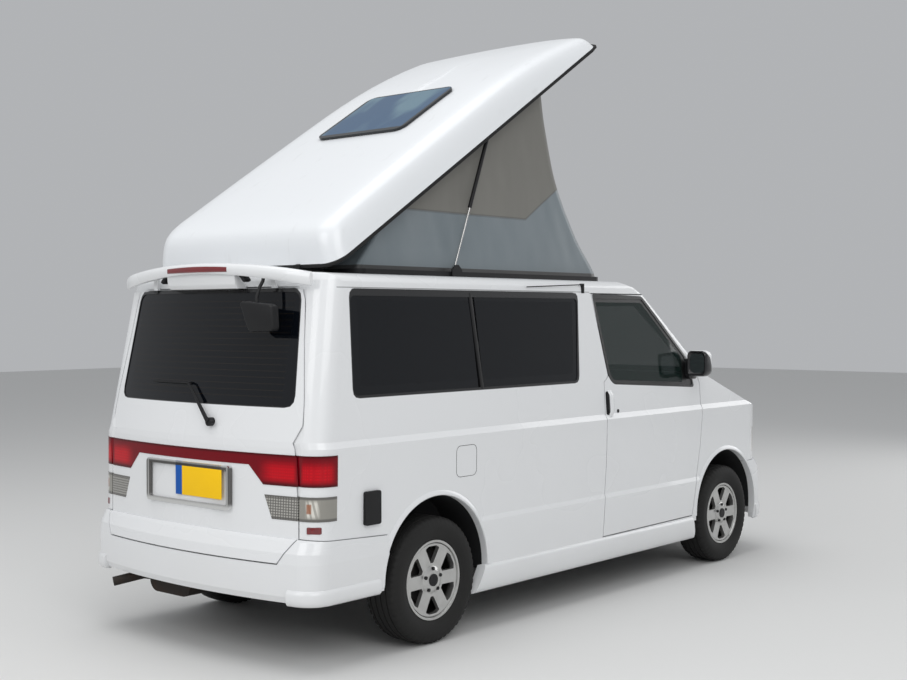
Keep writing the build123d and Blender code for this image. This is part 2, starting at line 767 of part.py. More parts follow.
with BuildPart() as fuel_tank:
    with BuildSketch(Plane.XY.offset(250)):
        with Locations((at(900), 200)):
            RectangleRounded(800, 380, 60)
    extrude(amount=floor_height - 250 - 0.3)
keep(fuel_tank.part, "fuel_tank")

with BuildPart() as exhaust:
    with BuildSketch(Plane.YZ.offset(at(-780))):
        with Locations((300, 290)):
            RectangleRounded(330, 130, 60)
    extrude(amount=420)
    with BuildLine() as tail_route:
        FilletPolyline((at(-700), 430, 290), (at(-780), 520, 300), (at(-905), 610, 268), radius=40)
    with BuildSketch(Plane(origin=tail_route.line @ 0, z_dir=tail_route.line % 0)):
        Circle(24)
    sweep()
    with BuildLine() as front_route:
        FilletPolyline((at(-380), 250, 290), (at(-250), 250, 200), (at(250), 250, 200), (at(450), -60, 290),
                       (at(1900), -60, 320), (at(1999.7), -60, 320), radius=60)
    with BuildSketch(Plane(origin=front_route.line @ 0, z_dir=front_route.line % 0)):
        Circle(24)
    sweep()
keep(exhaust.part, "exhaust")

# Lifting roof, drawn closed in its own plane and tilted about the rear hinge
roof_frame = Plane(origin=(at(roof_hinge_x), 0, roof_hinge_z),
                   x_dir=(cos(radians(roof_angle)), 0, sin(radians(roof_angle))),
                   z_dir=(-sin(radians(roof_angle)), 0, cos(radians(roof_angle))))
roof_side = Plane(origin=roof_frame.origin, x_dir=roof_frame.x_dir, z_dir=(0, -1, 0))
roof_bow = 1300.0
rim_side = ((0.0, -1.0), (78.0, 146.0), (150.0, 170.0), (1300.0, 187.0), (2050.0, 160.0), (2740.0, 30.0),
            (2800.0, -1.0))


def roof_plan(height, inset, lean):
    """Plan of the lifting roof at a height above its rim."""
    half = roof_half_width - inset - lean
    fore = roof_length - inset - lean - half ** 2 / (2 * roof_bow)
    with BuildSketch(roof_frame.offset(height)) as plan:
        with BuildLine():
            Line((inset, -half), (fore, -half))
            ThreePointArc((fore, -half), (roof_length - inset - lean, 0), (fore, half))
            Polyline((fore, half), (inset, half), (inset, -half))
        make_face()
        fillet(plan.vertices().sort_by(Axis.X)[:2], 90 - inset / 2)
        fillet(plan.vertices().sort_by(Axis.X)[-2:], 60 - inset / 2)
    return plan.sketch


def roof_form(inset):
    """Closed form of the lifting roof, all faces moved in by inset."""
    rings = [roof_plan(0, inset, 0), roof_plan(150, inset, 44), roof_plan(220, inset, 110)]
    with BuildPart() as form:
        loft(rings, ruled=True)
        with BuildSketch(roof_side):
            with BuildLine():
                Polyline(rim_side, close=True)
            make_face()
            if inset:
                offset(amount=-inset, kind=Kind.INTERSECTION)
                with Locations((1400, inset)):
                    Rectangle(2600, 2 * inset + 4)
        extrude(amount=800, both=True, mode=Mode.INTERSECT)
    return form.part


with BuildPart() as skylight_hole:
    with BuildSketch(roof_frame.offset(50)):
        with Locations((1390, 0)):
            RectangleRounded(520, 640, 50)
    extrude(amount=200)

with BuildPart() as roof_shell:
    add(roof_form(0))
    add(roof_form(roof_wall), mode=Mode.SUBTRACT)
    with BuildSketch(roof_frame.offset(tent_seat)):
        with Locations((1340, 0)):
            RectangleRounded(2060, 2 * 670, 40)
            RectangleRounded(1960, 2 * 596, 40, mode=Mode.SUBTRACT)
    extrude(amount=10)
    add(skylight_hole.part, mode=Mode.SUBTRACT)
    for side in (1, -1):
        with BuildSketch(Plane.XZ.offset(side * (roof_hinge_y - seat_gap))):
            with Locations((at(roof_hinge_x), roof_hinge_z)):
                Circle(roof_barrel_radius + 0.5)
        extrude(amount=side * (roof_barrel_width + 2 * seat_gap), mode=Mode.SUBTRACT)
        with BuildSketch(Plane.XZ.offset(side * (roof_hinge_y - 12))):
            with Locations((at(roof_hinge_x), roof_hinge_z)):
                Circle(roof_pin_radius)
        extrude(amount=side * (roof_barrel_width + 24))
        with BuildSketch(Plane(origin=roof_frame.origin + Vector(0, side * (strut_y_roof + 12), 0),
                               x_dir=roof_frame.x_dir, z_dir=(0, side, 0))):
            with Locations((strut_pin_s, -side * 25)):
                Rectangle(60, 44)
        extrude(amount=22)
        with BuildSketch(Plane(origin=roof_frame.origin + Vector(0, side * (strut_y_roof + 6.5), 0),
                               x_dir=roof_frame.x_dir, z_dir=(0, side, 0))):
            with Locations((strut_pin_s, -side * strut_pin_h)):
                Circle(5)
        extrude(amount=6)
keep(roof_shell.part, "roof_shell")

with BuildPart() as skylight:
    with BuildSketch(roof_frame.offset(158)):
        with Locations((1390, 0)):
            RectangleRounded(519, 639, 49.5)
    extrude(amount=44)
    with BuildSketch(roof_frame.offset(190)):
        with Locations((1390, 0)):
            RectangleRounded(545, 665, 62)
    extrude(amount=12)
    add(roof_shell.part, mode=Mode.SUBTRACT)
keep(skylight.part, "skylight")

with BuildPart() as roof_seal:
    extrude(roof_plan(-seal_depth, 2, 0), amount=seal_depth + 1)
    extrude(roof_plan(-seal_depth, 2 + seal_width, 0), amount=seal_depth + 1, mode=Mode.SUBTRACT)
    for side in (1, -1):
        with BuildSketch(roof_frame.offset(-seal_depth - 1)):
            with Locations((0, side * (roof_hinge_y + roof_barrel_width / 2))):
                Rectangle(56, roof_barrel_width + 10)
        extrude(amount=seal_depth + 4, mode=Mode.SUBTRACT)
    add(roof_shell.part, mode=Mode.SUBTRACT)
keep(roof_seal.part, "roof_seal")

# Frame on the body roof round the opening, with strut brackets and the rear hinges
frame_top = 1878.0
with BuildPart() as roof_fittings:
    with BuildSketch(Plane.XY.offset(1840)):
        with Locations((at(680), 0)):
            RectangleRounded(2100, 2 * 650, 60)
            RectangleRounded(2020, 2 * 600, 50, mode=Mode.SUBTRACT)
    extrude(amount=frame_top - 1840)
    for side in (1, -1):
        with BuildSketch(Plane.XZ.offset(side * 652.5)):
            with BuildLine():
                Polyline((at(327), 1835), (at(327), 1888), (at(355), 1914), (at(379), 1914), (at(407), 1888),
                         (at(407), 1835), close=True)
            make_face()
        extrude(amount=side * 7.5)
        with BuildSketch(Plane.XZ.offset(side * 646.5)):
            with Locations((at(strut_foot[0]), strut_foot[1])):
                Circle(5)
        extrude(amount=side * 6.5)
        with BuildSketch(Plane.XZ.offset(side * roof_hinge_y)):
            with BuildLine():
                Polyline([(at(roof_hinge_x + ahead), z) for ahead, z in (
                    (-40, 1840), (-40, 1874), (-6, 1874), (-6, roof_hinge_z), (6, roof_hinge_z), (6, 1874),
                    (160, 1874), (160, 1840))], close=True)
            make_face()
            with Locations((at(roof_hinge_x), roof_hinge_z)):
                Circle(roof_barrel_radius)
                Circle(roof_pin_radius + seat_gap, mode=Mode.SUBTRACT)
        extrude(amount=side * roof_barrel_width)
    add(body_volume.part, mode=Mode.SUBTRACT)
    add(inner_volume.part, mode=Mode.SUBTRACT)
keep(roof_fittings.part, "roof_fittings")


def under_roof(x, height):
    """Row height of a place in the lifting roof's plane, above a point ahead of the rear axle."""
    tilt = radians(roof_angle)
    return roof_hinge_z + (x - roof_hinge_x) * tan(tilt) + height / cos(tilt)


tent_top = tent_seat - 0.3
tent_side = ((-350.0, frame_top + 0.3), (-40.0, 2170.0), (-10.0, under_roof(-10, tent_top)),
             (1140.0, under_roof(1140, tent_top)), (1161.0, 2929.0), (1206.0, 2724.0), (1305.0, 2416.0),
             (1496.0, 2122.0), (1690.0, 1905.0), (1705.0, frame_top + 0.3))
with BuildPart() as tent:
    with BuildSketch(Plane.XZ):
        with BuildLine():
            Polyline([(at(x), z) for x, z in tent_side], close=True)
        make_face()
    extrude(amount=tent_half_width, both=True)
    with BuildSketch(Plane.XZ):
        with BuildLine():
            Polyline([(at(x), z) for x, z in tent_side], close=True)
        make_face()
        offset(amount=-tent_cloth, kind=Kind.INTERSECTION)
        with BuildLine():
            Polyline((at(-320), frame_top - 20), (at(-320), frame_top + 25), (at(1675), frame_top + 25),
                     (at(1675), frame_top - 20), close=True)
        make_face()
        with BuildLine():
            Polyline((at(0), under_roof(0, tent_top - 30)), (at(-2), under_roof(-2, tent_top + 30)),
                     (at(1134), under_roof(1134, tent_top + 30)), (at(1134), under_roof(1134, tent_top - 30)),
                     close=True)
        make_face()
    extrude(amount=tent_half_width - tent_cloth, both=True, mode=Mode.SUBTRACT)
keep(tent.part, "tent")

# Gas struts: tube on the roof's pin, rod out of its lower end towards the bracket
strut_top = roof_frame.from_local_coords(Vector(strut_pin_s, 0, strut_pin_h))
strut_run = Vector(at(strut_foot[0]) - strut_top.X, 0, strut_foot[1] - strut_top.Z)
strut_line = strut_run.normalized()
for name, side in (("left", 1), ("right", -1)):
    strut_plane = Plane(origin=(strut_top.X, side * strut_y_roof, strut_top.Z), x_dir=(0, 1, 0),
                        z_dir=strut_line)
    with BuildPart() as strut_tube:
        with BuildSketch(strut_plane.offset(14)):
            Circle(11)
        extrude(amount=strut_tube_length - 14)
        with BuildSketch(strut_plane):
            Circle(5)
        extrude(amount=20)
        with BuildSketch(Plane.XZ.offset(-side * strut_y_roof - 6)):
            with Locations((strut_top.X, strut_top.Z)):
                Circle(12)
        extrude(amount=12)
        with BuildSketch(strut_plane.offset(25)):
            Circle(strut_rod_radius + 0.5)
        extrude(amount=strut_tube_length, mode=Mode.SUBTRACT)
    keep(strut_tube.part, "strut_tube_" + name)
    with BuildPart() as strut_rod:
        with BuildSketch(strut_plane.offset(strut_tube_length - 35)):
            Circle(strut_rod_radius)
        extrude(amount=strut_run.length - strut_tube_length + 35)
        with BuildSketch(Plane.XZ.offset(-side * strut_y_roof - 6)):
            with Locations((at(strut_foot[0]), strut_foot[1])):
                Circle(12)
        extrude(amount=12)
    keep(strut_rod.part, "strut_rod_" + name)

# Panels
keep(front_door_right.part, "front_door_right")
with BuildPart() as front_door_left:
    add(mirror(front_door_right.part, about=Plane.XZ))
keep(front_door_left.part, "front_door_left")
keep(door_glass_right.part, "door_glass_right")
with BuildPart() as door_glass_left:
    add(mirror(door_glass_right.part, about=Plane.XZ))
keep(door_glass_left.part, "door_glass_left")
keep(sliding_door.part, "sliding_door")
keep(bonnet.part, "bonnet")
keep(windscreen.part, "windscreen")
keep(side_glass.part, "side_glass")
keep(tailgate_glass.part, "tailgate_glass")
keep(headlamps.part, "headlamps")
keep(grille.part, "grille")
keep(rear_bumper.part, "rear_bumper")
keep(front_band.part, "front_bumper")
keep(side_lamps_red.part, "tail_lamps_red")
keep(side_lamps_clear.part, "tail_lamps_clear")
keep(tailgate_lamps_red.part, "tailgate_lamps_red")
keep(tailgate_lamps_clear.part, "tailgate_lamps_clear")
keep(tailgate.part, "tailgate")

with BuildPart() as side_skirts:
    for side in (1, -1):
        with BuildSketch(Plane.XZ.offset(side * 800)):
            with BuildLine():
                Polyline((at(365), 322), (at(300), 300), (at(285), 208), (at(420), 218), (at(2350), 218),
                         (at(2470), 208), (at(2500), 322), close=True)
            make_face()
        extrude(amount=side * 46)
    add(body_shell.part, mode=Mode.SUBTRACT)
    add(arches.part, mode=Mode.SUBTRACT)
keep(side_skirts.part, "side_skirts")

with BuildPart() as spoiler:
    with BuildSketch(Plane.XZ.offset(-690)):
        with BuildLine():
            Polyline((at(-768), 1800), (at(-768), 1842), (at(-800), 1872), (at(-935), 1866), (at(-938), 1850),
                     (at(-830), 1836), (at(-800), 1800), close=True)
        make_face()
    extrude(amount=1380)
    with BuildSketch(Plane.YZ.offset(at(-960))):
        with BuildLine():
            Line((-690, 1812), (-690, 1826))
            ThreePointArc((-690, 1826), (0, 1875), (690, 1826))
            Line((690, 1826), (690, 1812))
            Polyline((690, 1812), (560, 1796), (-560, 1796), (-690, 1812))
        make_face()
    extrude(amount=300, mode=Mode.INTERSECT)
    for side in (1, -1):
        with BuildSketch(Plane.XZ.offset(side * 240)):
            with BuildLine():
                Polyline((at(-730), 1763), (at(-730), 1779), (at(-758), 1781), (at(-762), 1810), (at(-800), 1810),
                         (at(-785), 1763), close=True)
            make_face()
        extrude(amount=side * 60)
    add(body_volume.part, mode=Mode.SUBTRACT)
keep(spoiler.part, "spoiler")

plate_half = 320.0
with BuildPart() as plate_frame:
    with BuildSketch(Plane.YZ.offset(at(-905))):
        with Locations((0, 830)):
            RectangleRounded(2 * plate_half, 212, 20)
            RectangleRounded(2 * plate_half - 44, 168, 10, mode=Mode.SUBTRACT)
    extrude(amount=20)
    add(tailgate.part, mode=Mode.SUBTRACT)
    split(bisect_by=Plane.YZ.offset(at(-885)), keep=Keep.BOTTOM)
keep(plate_frame.part, "plate_frame")

with BuildPart() as rear_wiper:
    with BuildSketch(Plane.YZ.offset(at(-925))):
        with Locations((-113, 1138)):
            Circle(20)
    extrude(amount=60)
    with BuildSketch(Plane.YZ.offset(at(-925))):
        with BuildLine():
            Polyline((-121, 1130), (-103, 1146), (140, 1318), (146, 1304), close=True)
        make_face()
        with Locations((237, 1312)):
            Rectangle(246, 12)
    extrude(amount=14)
    add(tailgate.part, mode=Mode.SUBTRACT)
    add(tailgate_glass.part, mode=Mode.SUBTRACT)
keep(rear_wiper.part, "rear_wiper")

with BuildPart() as under_mirror:
    with BuildSketch(Plane.XY.offset(1570)):
        with Locations((at(-905), -385)):
            RectangleRounded(60, 220, 20)
    extrude(amount=150, taper=4)
    with BuildSketch(Plane.XY.offset(1700)):
        with Locations((at(-890), -350)):
            Circle(8)
    extrude(amount=150)
    add(spoiler.part, mode=Mode.SUBTRACT)
keep(under_mirror.part, "under_mirror")

with BuildPart() as mirror_right:
    with BuildSketch(Plane.XY.offset(1245)):
        with Locations((at(2475), -940)):
            RectangleRounded(110, 170, 40)
    extrude(amount=175)
    chamfer(mirror_right.edges().group_by(Axis.Z)[-1], 18)
    with BuildSketch(Plane.XZ.offset(806)):
        with Locations((at(2510), 1270)):
            RectangleRounded(70, 60, 15)
    extrude(amount=80)
    add(front_door_right.part, mode=Mode.SUBTRACT)
    add(door_glass_right.part, mode=Mode.SUBTRACT)
with BuildPart() as mirror_outer:
    add(mirror_right.part.solids().sort_by(Axis.Y)[0])
keep(mirror_outer.part, "door_mirror_right")
with BuildPart() as mirror_left:
    add(mirror(mirror_outer.part, about=Plane.XZ))
keep(mirror_left.part, "door_mirror_left")

with BuildPart() as side_vent:
    with BuildSketch(Plane.XZ.offset(830)):
        with Locations((at(-473), 740)):
            RectangleRounded(107, 160, 12)
    extrude(amount=24)
    add(body_shell.part, mode=Mode.SUBTRACT)
with BuildPart() as vent_cover:
    add(side_vent.part.solids().sort_by(Axis.Y)[0])
keep(vent_cover.part, "side_vent")

with BuildPart() as antenna:
    with BuildSketch(Plane.XY.offset(1775)):
        with Locations((at(1362), -762)):
            Circle(14)
    extrude(amount=55)
    with BuildLine() as rod_line:
        Line((at(1362), -774, 1824), (at(816), -778, 1803))
    with BuildSketch(Plane(origin=rod_line.line @ 0, z_dir=rod_line.line % 0)):
        Circle(3)
    sweep()
    add(body_volume.part, mode=Mode.SUBTRACT)
keep(antenna.part, "antenna")

with BuildPart() as front_seats:
    for side in (1, -1):
        with BuildSketch(Plane.XZ.offset(side * 380 - 245)):
            with BuildLine():
                Polyline((at(1960), 690.3), (at(2480), 690.3), (at(2500), 800), (at(2460), 840), (at(2080), 810),
                         (at(1930), 1370), (at(1820), 1370), (at(1800), 1330), (at(1930), 780), close=True)
            make_face()
        extrude(amount=490)
keep(front_seats.part, "front_seats")

with BuildPart() as rear_bench:
    with BuildSketch(Plane.XZ.offset(-560)):
        with BuildLine():
            Polyline((at(250), 470.3), (at(900), 470.3), (at(900), 860), (at(420), 850), (at(300), 1400),
                     (at(180), 1400), (at(250), 850), close=True)
        make_face()
    extrude(amount=1120)
    add(tubs.part, mode=Mode.SUBTRACT)
keep(rear_bench.part, "rear_bench")

with BuildPart() as dashboard:
    with BuildSketch(Plane.XZ.offset(-735)):
        with BuildLine():
            Polyline((at(2860), 800), (at(2860), 1085), (at(2700), 1085), (at(2600), 1040), (at(2580), 900),
                     (at(2700), 800), close=True)
        make_face()
    extrude(amount=1470)
    add(body_shell.part, mode=Mode.SUBTRACT)
keep(dashboard.part, "dashboard")

with BuildPart() as steering_wheel:
    wheel_plane = Plane(origin=(at(2420), -380, 1040), z_dir=(-0.8, 0, 0.6))
    with BuildSketch(wheel_plane.offset(-10)):
        Circle(190)
        Circle(168, mode=Mode.SUBTRACT)
        Rectangle(44, 350)
        Circle(60)
    extrude(amount=22)
    with BuildSketch(wheel_plane):
        Circle(25)
    extrude(amount=-260)
    add(dashboard.part, mode=Mode.SUBTRACT)
keep(steering_wheel.part.solids().sort_by(SortBy.VOLUME)[-1], "steering_wheel")

for part in finished:
    export_step(part, "parts/" + part.label + ".step")
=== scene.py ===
import json
from math import atan2, cos, hypot, pi, radians, sin

import bpy
from mathutils import Matrix, Vector, noise


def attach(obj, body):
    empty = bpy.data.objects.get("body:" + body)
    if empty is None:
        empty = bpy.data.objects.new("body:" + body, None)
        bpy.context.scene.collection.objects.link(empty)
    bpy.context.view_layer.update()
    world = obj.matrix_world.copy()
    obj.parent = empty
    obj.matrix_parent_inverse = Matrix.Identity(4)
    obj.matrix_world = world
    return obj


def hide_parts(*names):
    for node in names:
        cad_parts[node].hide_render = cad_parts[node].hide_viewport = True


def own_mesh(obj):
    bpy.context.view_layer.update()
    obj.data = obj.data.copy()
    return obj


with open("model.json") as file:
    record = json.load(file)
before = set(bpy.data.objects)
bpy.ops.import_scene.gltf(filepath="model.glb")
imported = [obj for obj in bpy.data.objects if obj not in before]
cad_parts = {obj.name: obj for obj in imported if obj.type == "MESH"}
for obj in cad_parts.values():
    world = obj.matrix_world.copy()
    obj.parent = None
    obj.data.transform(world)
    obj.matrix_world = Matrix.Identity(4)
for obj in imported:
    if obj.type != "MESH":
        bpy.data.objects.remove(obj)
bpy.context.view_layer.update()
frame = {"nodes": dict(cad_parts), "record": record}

# Places on the van are given as metres ahead of the rear axle, metres left and metres up
rearAxle = -1.380
wheelbase = 2.920
trackHalf = 0.7275
hubHeight = 0.320


def ahead(distance):
    return rearAxle + distance


# Camera at the photograph's view
photoView = {
    "place": (-6.3077, -5.1703, 1.6497),
    "yaw": 40.601,
    "pitch": -1.091,
    "roll": -0.109,
    "focalLength": 52.22,
    "sensorWidth": 36,
    "farEnd": 200,
}


def makeCamera():
    yaw, pitch, roll = (radians(photoView[key]) for key in ("yaw", "pitch", "roll"))
    forward = Vector((cos(yaw) * cos(pitch), sin(yaw) * cos(pitch), sin(pitch)))
    level = Vector((sin(yaw), -cos(yaw), 0))
    upward = level.cross(forward)
    right = cos(roll) * level + sin(roll) * upward
    above = -sin(roll) * level + cos(roll) * upward
    bpy.ops.object.camera_add(location=photoView["place"])
    camera = bpy.context.object
    camera.name = "photoCamera"
    camera.rotation_mode = "QUATERNION"
    camera.rotation_quaternion = Matrix((right, above, -forward)).transposed().to_quaternion()
    camera.data.lens = photoView["focalLength"]
    camera.data.sensor_width = photoView["sensorWidth"]
    camera.data.clip_end = photoView["farEnd"]
    bpy.context.scene.camera = camera


# Studio: a large soft key lamp from the right rear, a fill from behind, one on top and one in front
studioLamps = {
    "key": {"place": (-5.5, -8.0, 6.5), "size": 6.0, "power": 275},
    "fill": {"place": (-10.0, 0.5, 6.0), "size": 5.0, "power": 205},
    "top": {"place": (-2.0, 0.0, 9.0), "size": 8.0, "power": 320},
    "front": {"place": (9.0, -3.0, 4.0), "size": 5.0, "power": 150},
}
studioAim = Vector((0, 0, 1.2))
studioSky = {"colour": (0.92, 0.94, 0.97), "strength": 0.48}
studioFloor = {"colour": (0.70, 0.70, 0.69), "size": 60}


def makeLamps():
    for name, lamp in studioLamps.items():
        bpy.ops.object.light_add(type="AREA", location=lamp["place"])
        light = bpy.context.object
        light.name = name + "Lamp"
        light.data.size = lamp["size"]
        light.data.energy = lamp["power"]
        light.rotation_mode = "QUATERNION"
        light.rotation_quaternion = (studioAim - light.location).to_track_quat("-Z", "Y")


def makeFloor():
    choose()
    bpy.ops.mesh.primitive_plane_add(size=studioFloor["size"], location=(0, 0, 0))
    floor = bpy.context.object
    floor.name = "studioFloor"
    paint = Paint("studioFloor", studioFloor["colour"], 0.9)
    paint.set("Roughness", 0.85 + paint.noise(0.6, 2.0) * 0.1)
    floor.data.materials.append(paint.material)


def makeWorld():
    world = bpy.data.worlds.new("studio")
    bpy.context.scene.world = world
    world.use_nodes = True
    sky = world.node_tree.nodes["Background"]
    sky.inputs["Color"].default_value = (*studioSky["colour"], 1)
    sky.inputs["Strength"].default_value = studioSky["strength"]


# Shader maths: a wire wraps a socket, so sums on wires add Math nodes
class Wire:
    def __init__(self, paint, socket):
        self.paint = paint
        self.socket = socket

    def maths(self, operation, *values):
        made = self.paint.node("Math", {"operation": operation}, dict(enumerate(values)))
        return Wire(self.paint, made.outputs[0])

    def __add__(self, other):
        return self.maths("ADD", self, other)

    __radd__ = __add__

    def __sub__(self, other):
        return self.maths("SUBTRACT", self, other)

    def __rsub__(self, other):
        return self.maths("SUBTRACT", other, self)

    def __mul__(self, other):
        return self.maths("MULTIPLY", self, other)

    __rmul__ = __mul__

    def __abs__(self):
        return self.maths("ABSOLUTE", self)

    def larger(self, other):
        return self.maths("MAXIMUM", self, other)

    def above(self, edge, soft=0.001):
        # 0 below the edge, 1 above it, with a soft step between
        return self.paint.ramp(self, edge - soft, edge + soft)

    def wave(self, period):
        return self.maths("SINE", self * (2 * pi / period))


class Paint:
    def __init__(self, name, colour, roughness, **fixed):
        self.material = bpy.data.materials.new(name)
        self.material.use_nodes = True
        self.tree = self.material.node_tree
        self.surface = self.tree.nodes["Principled BSDF"]
        self.surface.inputs["Base Color"].default_value = (*colour, 1)
        self.surface.inputs["Roughness"].default_value = roughness
        for socket, value in fixed.items():
            self.surface.inputs[socket.replace("_", " ")].default_value = value
        self.material.diffuse_color = (*colour, 1)

    def node(self, kind, settings=None, inputs=None):
        made = self.tree.nodes.new("ShaderNode" + kind)
        for key, value in (settings or {}).items():
            setattr(made, key, value)
        for key, value in (inputs or {}).items():
            self.feed(made.inputs[key], value)
        return made

    def feed(self, socket, value):
        if isinstance(value, Wire):
            value = value.socket
        if isinstance(value, bpy.types.NodeSocket):
            self.tree.links.new(value, socket)
        elif isinstance(value, tuple) and len(value) == 3 and socket.type == "RGBA":
            socket.default_value = (*value, 1)
        else:
            socket.default_value = value

    def place(self):
        return self.node("TexCoord").outputs["Object"]

    def along(self):
        split = self.node("SeparateXYZ", inputs={0: self.place()})
        return [Wire(self, split.outputs[axis]) for axis in range(3)]

    def stretched(self, scale):
        return self.node("Mapping", inputs={"Vector": self.place(), "Scale": scale}).outputs[0]

    def noise(self, scale, detail, stretch=None):
        vector = self.stretched(stretch) if stretch else self.place()
        made = self.node("TexNoise", inputs={"Vector": vector, "Scale": scale, "Detail": detail})
        return Wire(self, made.outputs[0])

    def mix(self, share, first, second):
        made = self.node("Mix", {"data_type": "RGBA"})
        self.feed(made.inputs[0], share)
        self.feed(made.inputs[6], first)
        self.feed(made.inputs[7], second)
        return made.outputs[2]

    def set(self, socket, value):
        self.feed(self.surface.inputs[socket], value)

    def bump(self, height, strength, distance):
        made = self.node("Bump", inputs={"Height": height, "Strength": strength, "Distance": distance})
        self.feed(self.surface.inputs["Normal"], made.outputs[0])

    def ramp(self, value, low, high):
        made = self.node("MapRange", {"interpolation_type": "SMOOTHSTEP"},
                         {"Value": value, "From Min": low, "From Max": high})
        return Wire(self, made.outputs[0])

    def band(self, value, rise, fall):
        # 1 between a rise and a fall, each with its two ends
        return self.ramp(value, *rise) * (1 - self.ramp(value, *fall))

    def near(self, value, middle, close, far):
        # 1 within a distance from the middle, fading out
        return 1 - self.ramp(abs(value - middle), close, far)

    def spot(self, axes, centre, radius, soft):
        # 1 near a place in the given wires, fading out at the radius
        total = None
        for wire, middle in zip(axes, centre):
            square = (wire - middle) * (wire - middle)
            total = square if total is None else total + square
        return 1 - self.ramp(total, (radius * (1 - soft)) ** 2, radius ** 2)

    def inside(self, axes, outline, grow=0.0, soft=0.0015):
        # 1 inside a convex outline drawn anticlockwise in the two given wires
        first, second = axes
        worst = None
        for (ax, az), (bx, bz) in zip(outline, outline[1:] + outline[:1]):
            length = hypot(bx - ax, bz - az)
            nx, nz = (bz - az) / length, (ax - bx) / length
            gap = first * nx + second * nz - (ax * nx + az * nz)
            worst = gap if worst is None else worst.larger(gap)
        return 1 - worst.above(grow, soft)


# Outlines: metres ahead of the rear axle and metres up, drawn anticlockwise
def rounded(outline, radius, steps=3):
    # each corner becomes a short curve
    corners = []
    for index, corner in enumerate(outline):
        before, after = Vector(outline[index - 1]), Vector(outline[(index + 1) % len(outline)])
        corner = Vector(corner)
        back, on = (before - corner).normalized(), (after - corner).normalized()
        for step in range(steps + 1):
            share = step / steps
            first, second = corner + back * radius * (1 - share), corner + on * radius * share
            corners.append(tuple(first * (1 - share) + second * share))
    return corners


def onVan(outline):
    return [(ahead(distance), height) for distance, height in outline]


windowShape = {
    "long": [(-0.566, 1.258), (1.268, 1.258), (1.302, 1.777), (-0.556, 1.777)],
    "door": [(1.612, 1.236), (2.545, 1.180), (2.470, 1.372), (1.984, 1.762), (1.440, 1.777), (1.562, 1.284)],
    "doorPane": [(1.612, 1.242), (2.530, 1.192), (2.440, 1.378), (1.975, 1.742), (1.454, 1.742), (1.574, 1.290)],
    "rear": [(0.667, 1.220), (0.619, 1.779), (-0.619, 1.779), (-0.667, 1.220)],
    "longCorner": 0.045,
    "doorCorner": 0.030,
    "rearCorner": 0.060,
    "printedCorner": 0.060,
    "printedEdge": 0.055,
    "doorEdge": 0.020,
    "mirrorCorner": 2.405,
    "mirrorCornerHalf": 0.740,
    "heaterPrint": (0.585, 1.262, 1.725, 0.002),
    "screenPrint": (0.668, 1.300, 1.705, 0.003),
    "dividerFoot": (0.390, 1.272),
    "dividerLean": -0.12,
    "dividerHalf": 0.016,
}


def dividerAt(height):
    foot, low = windowShape["dividerFoot"]
    return (height - low) * windowShape["dividerLean"] + ahead(foot)


# Finishes: a table of materials by name, filled once. Most names are also slots of the record
finishes = {}
colours = {
    "white": (0.80, 0.81, 0.82),
    # brownish grey that the white paints are darkened towards near the bottom of the van
    "dust": (0.40, 0.385, 0.35),
    "black": (0.010, 0.010, 0.011),
    "trim": (0.30, 0.30, 0.295),
    "darkPane": (0.003, 0.004, 0.006),
    "greenPane": (0.012, 0.024, 0.021),
    "chrome": (0.52, 0.51, 0.50),
}

# Where the body's paint changes. Distances run from the rear axle, halves from the middle line
paintShape = {
    "outside": 0.700,
    "archHeight": 0.360,
    "archRadius": 0.408,
    "linerHalves": (0.45, 0.806),
    "underside": 0.365,
    "undersideHalf": 0.780,
    "belt": 1.065,
    "wallHalf": 0.796,
    "wallLean": 0.072,
    "gutter": (1.768, 0.09),
    "trimFloor": 0.480,
    "trimEnds": (-0.700, 2.900),
    "rearLean": 0.186,
    "rearBorder": -0.690,
    "ceiling": (1.842, 0.10, 1.30, 2.20),
    "screen": (3.100, 1.384, 0.27),
    "railHeight": 1.7810,
    "railHalf": 0.002,
    "railEnds": (-0.620, 1.430),
}


def sprayedPaint(name, colour, lowDarkening):
    # gloss paint with faint clouds, darker and browner towards the bottom
    paint = Paint(name, colour, 0.28, Coat_Weight=0.5, Coat_Roughness=0.06, Specular_IOR_Level=0.4)
    x, y, z = paint.along()
    cloud = paint.noise(2.2, 2.0)
    # below about 0.6 m the paint turns darker and browner in patches, most at the very bottom, by the given share
    low = 1 - paint.ramp(z, 0.22, 0.62)
    share = low * (cloud * 0.7) * lowDarkening + cloud * 0.02
    paint.set("Base Color", paint.mix(share, colour, colours["dust"]))
    paint.set("Roughness", 0.25 + cloud * 0.04 + low * 0.08)
    return paint, (x, y, z)


